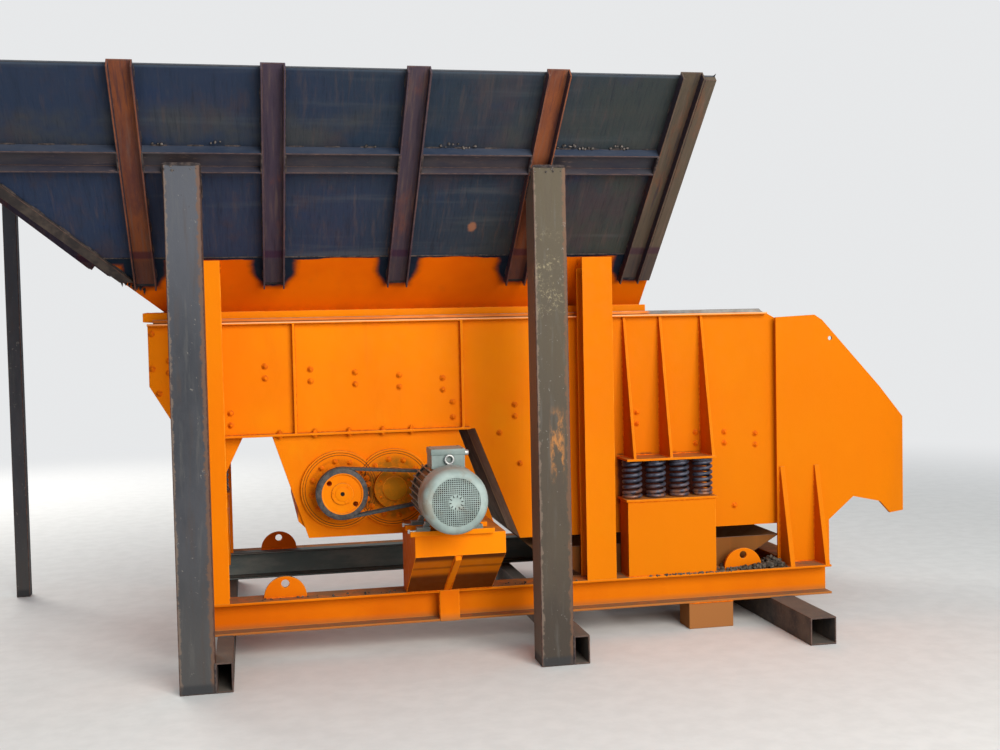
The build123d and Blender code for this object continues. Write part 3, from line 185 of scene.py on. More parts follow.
def set_light():
    """A broad key in front, a weaker one behind, and a pale sky."""
    add_light("key", (2.8, -9.2, 4.3), (0.2, -0.5, 1.2), 6.5, 950.0, (1.0, 0.98, 0.93))
    add_light("back", (-5.2, 8.6, 5.0), (0.0, 0.3, 1.2), 6.0, 680.0, (1.0, 0.97, 0.92))
    world = bpy.data.worlds.new("sky")
    bpy.context.scene.world = world
    world.use_nodes = True
    nodes, links = world.node_tree.nodes, world.node_tree.links
    sky, seen = nodes["Background"], nodes.new("ShaderNodeBackground")
    for shader, colour, strength in ((sky, (0.88, 0.94, 1.0), 0.46), (seen, BACKDROP, 1.0)):
        shader.inputs["Color"].default_value = colour + (1.0,)
        shader.inputs["Strength"].default_value = strength
    camera_ray = nodes.new("ShaderNodeLightPath").outputs["Is Camera Ray"]
    mix = nodes.new("ShaderNodeMixShader")
    for socket, source in zip(mix.inputs, (camera_ray, sky.outputs[0], seen.outputs[0])):
        links.new(source, socket)
    links.new(mix.outputs[0], nodes["World Output"].inputs["Surface"])


# Materials
class Field:
    """A number that changes over a surface: the output of one of a finish's nodes."""

    def __init__(self, finish, socket):
        self.finish = finish
        self.socket = socket

    def math(self, operation, first, second=0.0):
        return self.finish.field("ShaderNodeMath", {0: first, 1: second}, operation=operation)

    def __add__(self, other):
        return self.math("ADD", self, other)

    def __sub__(self, other):
        return self.math("SUBTRACT", self, other)

    def __rsub__(self, other):
        return self.math("SUBTRACT", other, self)

    def __mul__(self, other):
        return self.math("MULTIPLY", self, other)

    def __mod__(self, other):
        return self.math("FLOORED_MODULO", self, other)

    def __abs__(self):
        return self.math("ABSOLUTE", self)

    def level(self, low, high, start=0.0, end=1.0):
        """A soft step from start to end, while the number goes from low to high."""
        inputs = {"Value": self, "From Min": low, "From Max": high, "To Min": start, "To Max": end}
        return self.finish.field("ShaderNodeMapRange", inputs, interpolation_type="SMOOTHSTEP")

    def near(self, middle, reach, fade):
        """One close to the middle number, falling to nought."""
        return abs(self - middle).level(reach + fade, reach)


class Finish:
    """A procedural material. Its patterns are laid out in metres in the model's frame."""

    def __init__(self, name, **shader):
        self.material = bpy.data.materials.new(name)
        self.material.use_nodes = True
        self.nodes = self.material.node_tree.nodes
        self.links = self.material.node_tree.links
        self.shader = self.nodes["Principled BSDF"]
        self.colour = None
        space = self.nodes.new("ShaderNodeTexCoord")
        self.place = space.outputs["Object"]
        self.x, self.y, self.z = self.split(self.place)
        self.side, self.ahead, self.up = self.split(space.outputs["Normal"])
        self.set(**shader)

    def feed(self, socket, value):
        """Link a field or a node's output to a socket, or set a constant there."""
        value = value.socket if isinstance(value, Field) else value
        if isinstance(value, bpy.types.NodeSocket):
            self.links.new(value, socket)
        elif isinstance(value, tuple) and len(value) == 3 and len(socket.default_value) == 4:
            socket.default_value = value + (1.0,)
        else:
            socket.default_value = value

    def add(self, kind, inputs, **settings):
        node = self.nodes.new(kind)
        for name, value in settings.items():
            setattr(node, name, value)
        for name, value in inputs.items():
            self.feed(node.inputs[name], value)
        return node

    def field(self, kind, inputs, **settings):
        return Field(self, self.add(kind, inputs, **settings).outputs[0])

    def set(self, **shader):
        names = {"colour": "Base Color", "roughness": "Roughness", "metal": "Metallic",
                 "specular": "Specular IOR Level", "normal": "Normal"}
        for name, value in shader.items():
            self.feed(self.shader.inputs[names[name]], value)

    def split(self, vector):
        node = self.add("ShaderNodeSeparateXYZ", {0: vector})
        return [Field(self, part) for part in node.outputs[:3]]

    def noise(self, scale, detail=4.0, rough=0.6, stretch=(1.0, 1.0, 1.0), shift=0.0):
        spot = self.add("ShaderNodeMapping", {"Vector": self.place, "Scale": stretch,
                                              "Location": (shift, shift * 0.7, shift * 1.3)})
        return self.field("ShaderNodeTexNoise", {"Vector": spot.outputs[0], "Scale": scale,
                                                 "Detail": detail, "Roughness": rough})

    def wander(self, reach, *pattern, **more):
        """Noise about nought, which makes a straight limit ragged."""
        return (self.noise(*pattern, **more) - 0.5) * reach

    def most(self, first, *others):
        """The highest of several fields."""
        for other in others:
            first = first.math("MAXIMUM", first, other)
        return first

    def wheel_gap(self, x, z):
        """Distance from an axle that runs across the machine."""
        across, above = self.x - along(x), self.z - z
        return across.math("SQRT", across * across + above * above)

    def mix(self, amount, first, second):
        return self.add("ShaderNodeMix", {0: amount, 6: first, 7: second}, data_type="RGBA").outputs[2]

    def tones(self, field, low, high, first, second):
        """One colour where the field is low, and another where it is high."""
        return self.mix(field.level(low, high), first, second)

    def lay(self, amount, colour, over=None):
        """Lay a colour over what the surface has so far, or over a first colour."""
        self.colour = self.mix(amount, self.colour if over is None else over, colour)
        self.set(colour=self.colour)

    def tint(self, field, low, high, amount, colour):
        """Lay a colour where the field passes from low to high."""
        self.lay(field.level(low, high, 0.0, amount), colour)

    def occlusion_shade(self, reach):
        """Ambient occlusion, laid on as painted shade: one deep in a corner, nought in the open."""
        node = self.add("ShaderNodeAmbientOcclusion", {"Distance": reach}, samples=5)
        return 1.0 - Field(self, node.outputs["AO"])

    def bump(self, height, distance, strength=1.0, below=None):
        inputs = {"Height": height, "Distance": distance, "Strength": strength}
        if below is not None:
            inputs["Normal"] = below
        return self.add("ShaderNodeBump", inputs).outputs[0]


PALE_ORANGE = (0.86, 0.232, 0.001)
DEEP_ORANGE = (0.84, 0.192, 0.001)
RED_ORANGE = (0.60, 0.085, 0.002)
BROWN_DUST = (0.235, 0.150, 0.080)


def painted(name, deep=DEEP_ORANGE, light=PALE_ORANGE, wear=0.3, dirt_and_shade=0.35, dust=0.6, mottle=1.0,
            fresh_and_shade=1.0):
    """Sprayed orange machine paint over plate: nearly even, dusty on top, with grime and painted shade
    in corners, painted shade on faces towards the feed end, and darker towards the discharge end, partly
    as painted shade.
    """
    paint = Finish(name, specular=0.04)
    paint.lay(paint.noise(1.1).level(0.36, 0.66), light, deep)
    paint.tint(paint.noise(5, 4, 0.65, (1, 1, 0.35), 4), 0.5, 0.8, 0.16 * mottle, RED_ORANGE)
    runs = paint.noise(13, 3, 0.6, (1, 1, 0.045), 9)
    paint.tint(runs, 0.56, 0.82, 0.18 * mottle, (0.55, 0.13, 0.012))
    paint.tint(paint.noise(3.2, 5, 0.7, (1, 1, 0.6), 17), 0.56, 0.82, 0.3 * fresh_and_shade, (0.82, 0.32, 0.004))
    patches = paint.noise(2.6, 3, 0.5, shift=23).level(0.52, 0.7)
    chips = paint.noise(46, 5, 0.7, shift=2).level(0.675, 0.7) * patches * wear
    paint.lay(chips, (0.16, 0.055, 0.022))
    # Ambient occlusion times noise: grime and painted shade in corners and creases.
    corner = paint.occlusion_shade(0.05) * paint.noise(18, 4, 0.7, shift=6).level(0.3, 0.62)
    paint.tint(corner, 0.25, 0.85, dirt_and_shade, (0.22, 0.06, 0.012))
    # Darker and duller towards the discharge end: partly a tone of its own, partly painted shade against
    # the stronger key lamp there. Faces towards the feed end get a deep red painted shade.
    paint.tint(paint.x, 0.3, 1.1, 0.75 * fresh_and_shade, (0.64, 0.16, 0.001))
    paint.tint(paint.side, -0.6, -0.9, 0.5 * fresh_and_shade, (0.48, 0.062, 0.001))
    paint.tint(paint.z, 0.19, 0.13, dust, (0.3, 0.13, 0.045))
    cover = paint.noise(11, 5, 0.7, shift=13).level(0.28, 0.6, 0.35, 1.0)
    dusty = paint.up.level(0.7, 0.95) * cover * dust
    paint.lay(dusty, BROWN_DUST)
    rough = paint.noise(22, 3, 0.5, shift=1).level(0.3, 0.7, 0.46, 0.62)
    normal = paint.bump(paint.noise(130, 2, 0.5), 0.0005, 0.5)
    normal = paint.bump(paint.noise(3, 2, 0.4, shift=8), 0.009, 0.35, normal)
    normal = paint.bump(1.0 - chips, 0.0008, 0.8, normal)
    paint.set(roughness=paint.most(rough, dusty * 0.9), normal=normal)
    return paint


def far_beam_paint(name):
    """The far base beam: orange outside, dark primer on the side that faces the chute."""
    paint = painted(name, wear=0.5, dust=0.9)
    bare = paint.noise(6, 5, 0.7, (0.3, 1, 1), 44)
    dark = paint.tones(bare, 0.38, 0.68, (0.13, 0.175, 0.175), (0.24, 0.265, 0.245))
    paint.tint(paint.y, -BASE_Y - 0.078, -BASE_Y - 0.081, 1.0, dark)
    return paint


def sooty_paint(name):
    """The lower hopper: a deeper, redder orange that is partly painted shade, burnt dark by the welding
    of each rib and of the seam.
    """
    # The deeper, redder orange is partly painted shade of the downward-facing sides.
    paint = painted(name, (0.74, 0.115, 0.001), (0.86, 0.158, 0.001), 0.1, 0.12, 0.3, fresh_and_shade=0.5)
    wander = paint.noise(14, 3, 0.55, shift=3) - 0.5
    from_rib = (paint.x - along(RIB_X[0] - RIB_PITCH / 2.0)) % RIB_PITCH
    gap = abs(from_rib - RIB_PITCH / 2.0)
    edge = gap + wander * 0.035 + paint.z.level(1.945, 1.872, 0.0, 0.046)
    foot = (paint.z + wander * 0.03).level(1.868, 1.882)
    scorch = edge.level(0.138, 0.1) * paint.z.level(1.85, 1.872) * paint.up.level(0.0, -0.3) * 0.75
    paint.lay(scorch, (0.3, 0.055, 0.006))
    sway = paint.wander(0.05, 2.6, 3, 0.5, (1, 0.1, 0.1), 6)
    line = (paint.z + sway + wander * 0.01).level(1.994, 1.999)
    corner = paint.x.level(along(-0.05), along(-0.09)) * paint.z.level(1.96, 1.99)
    soot = paint.most(edge.level(0.119, 0.088) * foot, line, corner)
    inside = paint.up.level(0.1, 0.4)
    tint = paint.mix(paint.noise(20, 3), (0.006, 0.01, 0.03), (0.018, 0.032, 0.045))
    paint.lay(soot * (1.0 - inside), tint)
    scrape = paint.noise(60, 5, 0.75, (1, 0.09, 0.09), 28)
    worn = paint.tones(scrape, 0.35, 0.66, (0.13, 0.092, 0.064), (0.23, 0.16, 0.105))
    paint.lay(inside * scrape.level(0.34, 0.6, 0.6, 0.96), worn)
    return paint


def side_paint(name):
    """The trough's side plates: painted shade behind the front springs, and a painted highlight along
    the top flange's edge.
    """
    paint = painted(name)
    wander = paint.wander(0.05, 9, 4, 0.6, shift=5)
    # Painted shade: a dark maroon patch on the plate behind the front springs.
    behind = ((paint.x + wander).near(along(2.535), 0.235, 0.03)
              * (paint.z + wander).near(0.8, 0.125, 0.02) * 0.94)
    paint.lay(behind, paint.mix(paint.noise(14), (0.02, 0.012, 0.02), (0.12, 0.022, 0.012)))
    # Painted highlight: a pale pink line along the outer edge of the top flange.
    tip = (abs(paint.y).level(-FLANGE_Y - 0.001, -FLANGE_Y - 0.0004)
           * paint.z.level(TROUGH_TOP - 0.0075, TROUGH_TOP - 0.006) * 0.8)
    paint.lay(tip, (0.98, 0.52, 0.3))
    return paint


def bearing_paint(name):
    """The bearing housings: oily grime inside the bolt circles, darkest between the two."""
    paint = painted(name, dirt_and_shade=0.7)
    cloud = paint.noise(22, 5, 0.7, shift=3)
    first, second = (paint.wheel_gap(x, SHAFT_Z) for x in SHAFT_X)
    oily = first.level(0.166, 0.15) * cloud.level(0.34, 0.66, 0.1, 0.65)
    paint.lay(oily, (0.36, 0.085, 0.004))
    olive = second.level(0.176, 0.14) * cloud.level(0.3, 0.62, 0.25, 0.9)
    paint.lay(olive, (0.34, 0.125, 0.008))
    paint.tint(second, 0.066, 0.058, 0.5, (0.5, 0.175, 0.004))
    between = (paint.x.near(along(sum(SHAFT_X) / 2.0), 0.008, 0.022) * paint.z.near(SHAFT_Z, 0.09, 0.03)
               * cloud.level(0.3, 0.55) * 0.9)
    paint.lay(between, (0.035, 0.016, 0.008))
    return paint


def bracket_paint(name):
    """The motor's bracket: its sloping back has painted shade in bands on both sides of the rib."""
    paint = painted(name)
    height = paint.z + paint.wander(0.02, 7, 4, 0.6, (0.3, 1, 1))
    # Painted shade on the downward-facing back, in bands.
    under = paint.up.level(-0.45, -0.6) * paint.z.level(0.551, 0.546)
    beside = abs(paint.x - along(MOTOR_RIB_X)).level(0.0145, 0.0155)
    line = height.near(0.47, 0.004, 0.006) * 0.5
    shade_bands = paint.most(height.level(0.505, 0.53), line, height.level(0.435, 0.4))
    amount = under * beside * (shade_bands * 0.6 + 0.32)
    paint.lay(amount, (0.075, 0.016, 0.004))
    return paint


def pulley_paint(name):
    """Bright paint on the pulley, with belt dust on its rim and lines where it was turned."""
    paint = painted(name, wear=0.2, dirt_and_shade=0.3)
    gap = paint.wheel_gap(SHAFT_X[0], SHAFT_Z) + paint.wander(0.004, 40)
    paint.tint(gap, 0.1035, 0.106, 1.0, (0.04, 0.034, 0.03))
    paint.lay(gap.near(0.0545, 0.0008, 0.0015) * 0.8, (0.12, 0.035, 0.012))
    paint.tint(gap, 0.0115, 0.01, 1.0, (0.015, 0.012, 0.01))
    return paint


def raw_steel(name):
    """Hot-rolled plate left unpainted: blue mill scale at one end, olive-grey at the other."""
    steel = Finish(name, metal=0.1, specular=0.16)
    drift = steel.x + steel.wander(1.6, 1.6, 3)
    steel.lay(drift.level(-1.1, -0.1), (0.025, 0.042, 0.07), (0.027, 0.043, 0.088))
    steel.tint(drift, -0.1, 1.0, 1.0, (0.049, 0.058, 0.051))
    cloud = steel.noise(2.4, 5, 0.65, shift=2)
    steel.tint(cloud, 0.54, 0.72, 0.55, (0.018, 0.038, 0.105))
    olive = steel.z.near(RAIL_Z + 0.1, 0.03, 0.1) * steel.noise(3).level(0.4, 0.66) * 0.7
    steel.lay(olive, (0.08, 0.074, 0.058))
    steel.tint(steel.noise(3.4, 5, 0.7, (1, 0.6, 0.6), 31), 0.5, 0.7, 0.65, (0.064, 0.046, 0.056))
    steel.tint(steel.noise(9, 3, 0.6, (0.1, 1, 1), 6), 0.5, 0.75, 0.35, (0.13, 0.14, 0.145))
    fine = steel.noise(120, 4, 0.7, (1, 0.07, 0.07), 19)
    steel.tint(fine, 0.54, 0.76, 0.22, (0.105, 0.098, 0.1))
    steel.tint(fine, 0.48, 0.3, 0.35, (0.012, 0.016, 0.026))
    runs = steel.noise(34, 4, 0.65, (1, 0.1, 0.1), 7)
    steel.tint(runs, 0.52, 0.76, 0.42, (0.125, 0.085, 0.075))
    steel.tint(runs, 0.46, 0.26, 0.4, (0.014, 0.02, 0.03))
    rust = steel.noise(4.2, 6, 0.72, shift=11).level(0.64, 0.76, 0.0, 0.45)
    steel.lay(rust, (0.1, 0.052, 0.04))
    spot = steel.wheel_gap(1.46, 2.141) + steel.noise(50) * 0.016
    steel.tint(spot, 0.036, 0.022, 0.9, (0.34, 0.15, 0.085))
    steel.tint(steel.z, RAIL_Z - 0.03, RAIL_Z + 0.02, 0.3, (0.018, 0.028, 0.046))
    scrape = steel.noise(60, 5, 0.75, (1, 0.08, 0.08), 28)
    worn = steel.tones(scrape, 0.3, 0.7, (0.072, 0.065, 0.062), (0.13, 0.104, 0.084))
    worn = steel.mix(cloud.level(0.4, 0.66, 0.0, 0.6), worn, (0.052, 0.05, 0.054))
    steel.tint(steel.up, 0.1, 0.4, 0.9, worn)
    steel.tint(steel.z, HOPPER_TOP - 0.012, HOPPER_TOP - 0.004, 0.35, (0.11, 0.15, 0.2))
    # Painted shade in creases, from the ambient occlusion.
    steel.tint(steel.occlusion_shade(0.05), 0.3, 0.9, 0.6, (0.012, 0.012, 0.018))
    normal = steel.bump(steel.noise(90), 0.0008, 0.5)
    normal = steel.bump(steel.noise(2.2, 2, 0.4, shift=8), 0.01, 0.4, normal)
    steel.set(roughness=steel.most(runs, rust).level(0.3, 0.8, 0.5, 0.78), normal=normal)
    return steel


def rib_steel(name):
    """The hopper's ribs: two of them bright rust, the others dark brown and violet."""
    steel = Finish(name, metal=0.05, specular=0.22)
    dark = steel.tones(steel.x, -0.5, 0.9, (0.066, 0.048, 0.074), (0.105, 0.082, 0.058))
    rusty = steel.noise(7, 5, 0.7, (1, 0.3, 0.3), 2)
    red = steel.tones(rusty, 0.3, 0.62, (0.125, 0.042, 0.034), (0.29, 0.088, 0.034))
    chosen = [steel.x.near(along(RIB_X[i]), 0.2, 0.02) for i in (0, 3)]
    steel.lay(steel.most(*chosen, rusty.level(0.52, 0.74, 0.0, 0.45)), red, dark)
    streak = steel.noise(60, 3, 0.6, (1, 0.06, 0.06), 5)
    steel.tint(streak, 0.5, 0.74, 0.5, (0.175, 0.115, 0.095))
    steel.tint(streak, 0.46, 0.28, 0.6, (0.034, 0.026, 0.044))
    steel.tint(steel.z, HOPPER_SEAM + 0.02, HOPPER_SEAM - 0.03, 0.45, (0.05, 0.04, 0.048))
    burnt = steel.z.near(HOPPER_SEAM + 0.012, 0.01, 0.012)
    steel.lay(burnt * 0.6, (0.045, 0.01, 0.04))
    # Painted shade: faces that look along the machine are darkened.
    steel.tint(abs(steel.side), 0.6, 0.9, 0.85, (0.03, 0.024, 0.044))
    normal = steel.bump(steel.noise(70, 5, 0.75, shift=5), 0.0014, 0.6)
    steel.set(roughness=rusty.level(0.3, 0.7, 0.6, 0.85), normal=normal)
    return steel


def rail_steel(name):
    """The rails: a bluish upper face over a brown web, with pale marks along the toe."""
    steel = Finish(name, metal=0.05, specular=0.25, roughness=0.62)
    cloud = steel.noise(5, 5, 0.7, (0.35, 1, 1), 2)
    steel.lay(cloud.level(0.34, 0.66), (0.078, 0.06, 0.064), (0.034, 0.035, 0.055))
    steel.tint(steel.noise(2, 3, shift=7), 0.46, 0.66, 0.7, (0.052, 0.055, 0.066))
    scuff = steel.noise(40, 4, 0.75, (0.25, 1, 1), 12)
    steel.tint(scuff, 0.6, 0.74, 0.6, (0.23, 0.15, 0.12))
    upper = steel.up.level(0.5, 0.62) * steel.z.level(RAIL_Z - 0.01, RAIL_Z) * 0.92
    steel.lay(upper, steel.tones(cloud, 0.36, 0.66, (0.02, 0.034, 0.066), (0.048, 0.06, 0.09)))
    steel.set(normal=steel.bump(scuff, 0.001, 0.5))
    return steel


def skid_steel(name):
    """Dusty grey-brown tube with pale specks."""
    steel = Finish(name, metal=0.05, specular=0.25, roughness=0.75)
    cloud = steel.noise(5, 6, 0.7, shift=2)
    steel.lay(cloud.level(0.34, 0.68), (0.15, 0.115, 0.09), (0.06, 0.056, 0.056))
    speck = steel.noise(45, 5, 0.75, shift=5)
    steel.tint(speck, 0.54, 0.76, 0.6, (0.27, 0.19, 0.13))
    steel.tint(steel.up, 0.7, 0.95, 0.55, (0.17, 0.145, 0.12))
    steel.set(normal=steel.bump(speck, 0.0016, 0.6))
    return steel


def post_steel(name):
    """Square tubes: the rear one blue-grey with a rusty edge, the front one grey-brown."""
    steel = Finish(name, metal=0.05, specular=0.25)
    cloud = steel.noise(3, 6, 0.65, (1, 1, 0.4))
    cold = steel.tones(cloud, 0.34, 0.66, (0.034, 0.037, 0.046), (0.066, 0.068, 0.078))
    cold = steel.mix(steel.z.level(1.4, 2.3, 0.0, 0.6), cold, (0.108, 0.115, 0.138))
    cold = steel.mix(steel.z.level(0.9, 0.1, 0.0, 0.6), cold, (0.092, 0.086, 0.08))
    warm = steel.tones(cloud, 0.34, 0.66, (0.054, 0.042, 0.033), (0.082, 0.064, 0.046))
    warm = steel.mix(steel.z.level(0.5, 2.4, 0.0, 0.55), warm, (0.116, 0.094, 0.056))
    front_post = steel.x.level(-0.3, -0.1)
    steel.lay(front_post, warm, cold)
    grain = steel.noise(30, 4, 0.65, (1, 1, 0.1), 5)
    steel.tint(grain, 0.5, 0.76, 0.45, (0.075, 0.052, 0.042))
    steel.tint(grain, 0.46, 0.26, 0.3, (0.135, 0.13, 0.12))
    ragged = steel.x + steel.wander(0.05, 24, 4, 0.7, shift=15)
    for x in POST_X:
        right = ragged.near(along(x + POST_HALF), 0.012, 0.01)
        steel.lay(right * 0.75, (0.16, 0.082, 0.048))
        left = ragged.near(along(x - POST_HALF), 0.006, 0.008)
        steel.lay(left * 0.7, (0.2, 0.145, 0.11))
    fine = steel.noise(75, 5, 0.8, shift=3).level(0.48, 0.66)
    patch = steel.noise(11, 4, 0.7, shift=3).level(0.46, 0.62)
    beige = front_post * steel.z.near(1.87, 0.08, 0.2) * fine * patch * 0.85
    steel.lay(beige, (0.36, 0.3, 0.18))
    streak = steel.noise(24, 4, 0.7, (1, 1, 0.4), 9).level(0.4, 0.6)
    orange = (front_post * steel.z.near(1.07, 0.1, 0.1) * steel.x.near(along(1.785), 0.022, 0.02)
              * streak * 0.8)
    steel.lay(orange, (0.5, 0.2, 0.05))
    steel.tint(steel.noise(38, 3, 0.7, shift=21), 0.66, 0.72, 0.5, (0.27, 0.25, 0.22))
    steel.tint(steel.noise(30, 3, 0.7, shift=51), 0.69, 0.74, 0.5, (0.035, 0.03, 0.03))
    steel.tint(steel.z, 0.055, 0.035, 0.75, (0.03, 0.032, 0.036))
    normal = steel.bump(steel.noise(70), 0.0012, 0.5)
    steel.set(roughness=cloud.level(0.3, 0.7, 0.55, 0.75), normal=normal)
    return steel


def toned(tone, *colour):
    """A colour made darker or brighter."""
    return tuple(tone * part for part in colour)


def wear_steel(name, tone=1.0):
    """Liners and grizzly bars: bare, scraped by stone, dusty."""
    steel = Finish(name, metal=0.35, specular=0.4)
    dark = toned(tone, 0.1, 0.095, 0.09)
    steel.lay(steel.noise(4, 6, 0.65).level(0.35, 0.66), toned(tone, 0.23, 0.22, 0.205), dark)
    scratch = steel.noise(60, 4, 0.7, (0.12, 1, 1), 4)
    steel.tint(scratch, 0.52, 0.72, 0.5, (0.33, 0.31, 0.28))
    steel.tint(steel.noise(8, 5, 0.7, shift=9), 0.5, 0.7, 0.7, (0.19, 0.105, 0.055))
    steel.tint(steel.up, 0.7, 0.95, 0.55, (0.28, 0.23, 0.17))
    rough = scratch.level(0.3, 0.7, 0.4, 0.64)
    steel.set(roughness=rough, normal=steel.bump(scratch, 0.001, 0.5))
    return steel


def liner_steel(name):
    """The liners: bare steel inside, painted where they stand above the outer flange."""
    steel = wear_steel(name, tone=1.2)
    outer = (abs(steel.ahead).level(0.6, 0.9) * abs(steel.y).level(0.56, 0.564)
             * steel.x.level(along(2.5), along(2.46)))
    steel.lay(outer, (0.62, 0.15, 0.002))
    seat = outer * steel.z.level(TROUGH_TOP + 0.007, TROUGH_TOP + 0.004) * 0.85
    steel.lay(seat, (0.1, 0.04, 0.012))
    return steel


def back_plate_steel(name):
    """The sloping back plate: brown-grey in the middle and pale towards the side plates, with a paler
    streak between; the pale parts are painted light as well as dust.
    """
    steel = Finish(name, metal=0.05, specular=0.2, roughness=0.8)
    cloud = steel.noise(7, 5, 0.7, shift=6)
    ragged = abs(steel.y) + (cloud - 0.5) * 0.05
    steel.lay(cloud.level(0.36, 0.66), (0.26, 0.23, 0.185), (0.13, 0.118, 0.1))
    # Painted light: a pale cream streak.
    steel.lay(ragged.near(0.285, 0.02, 0.012) * 0.8, (0.8, 0.68, 0.46))
    # Dust next to the side plates, made pale enough to be painted light as well.
    dust = steel.tones(cloud, 0.36, 0.66, (0.52, 0.44, 0.35), (0.68, 0.58, 0.46))
    steel.tint(ragged, 0.3, 0.33, 1.0, dust)
    steel.set(normal=steel.bump(steel.noise(60), 0.0015, 0.6))
    return steel


def plain(name, first, second, rough, metal=0.0, scale=30.0, dust=0.3, grain=0.0006, specular=0.25):
    """A finish with two tones, fine grain and some dust."""
    finish = Finish(name, metal=metal, specular=specular)
    cloud = finish.noise(scale, 4, 0.65)
    finish.lay(cloud.level(0.36, 0.66), second, first)
    finish.tint(finish.up, 0.6, 0.95, dust, (0.26, 0.2, 0.14))
    # Painted shade in creases, from the ambient occlusion.
    finish.tint(finish.occlusion_shade(0.03), 0.3, 0.9, 0.5, (0.03, 0.022, 0.016))
    normal = finish.bump(finish.noise(scale * 6.0, 3, 0.6), grain, 0.6)
    finish.set(roughness=cloud.level(0.3, 0.7, rough - 0.08, rough + 0.1), normal=normal)
    return finish


def spring_steel(name):
    """Black-blue coils with a painted orange reflection on their lower turns."""
    steel = plain(name, (0.024, 0.028, 0.05), (0.085, 0.092, 0.13), 0.42, 0.2, 22.0, 0.15, 0.0006, 0.5)
    # Painted reflection of the orange seats on the lower turns.
    low = steel.z.level(0.8, 0.72) * steel.noise(26).level(0.4, 0.6) * 0.6
    steel.lay(low, (0.42, 0.15, 0.04))
    return steel


def motor_paint(name, tone=1.0):
    """Grey-green hammered paint on the cast motor, with brown dust on its left shoulder."""
    paint = Finish(name, specular=0.35)
    cloud = paint.noise(9)
    pale = toned(tone, 0.27, 0.33, 0.312)
    paint.lay(cloud.level(0.34, 0.66), pale, toned(tone, 0.185, 0.235, 0.222))
    paint.tint(paint.noise(12, 5, 0.7, shift=3), 0.5, 0.74, 0.6, (0.22, 0.175, 0.125))
    left = (paint.x.level(along(MOTOR_X - 0.085), along(MOTOR_X - 0.15))
            * paint.noise(16, shift=8).level(0.3, 0.62) * 0.75)
    paint.lay(left, (0.23, 0.15, 0.085))
    paint.tint(paint.up, 0.35, 0.95, 0.45, (0.36, 0.35, 0.31))
    # Painted shade in creases, from the ambient occlusion.
    paint.tint(paint.occlusion_shade(0.035), 0.25, 0.85, 0.75, (0.04, 0.038, 0.032))
    normal = paint.bump(paint.noise(330, 2, 0.5), 0.0007, 0.5)
    paint.set(roughness=cloud.level(0.3, 0.7, 0.42, 0.58), normal=normal)
    return paint


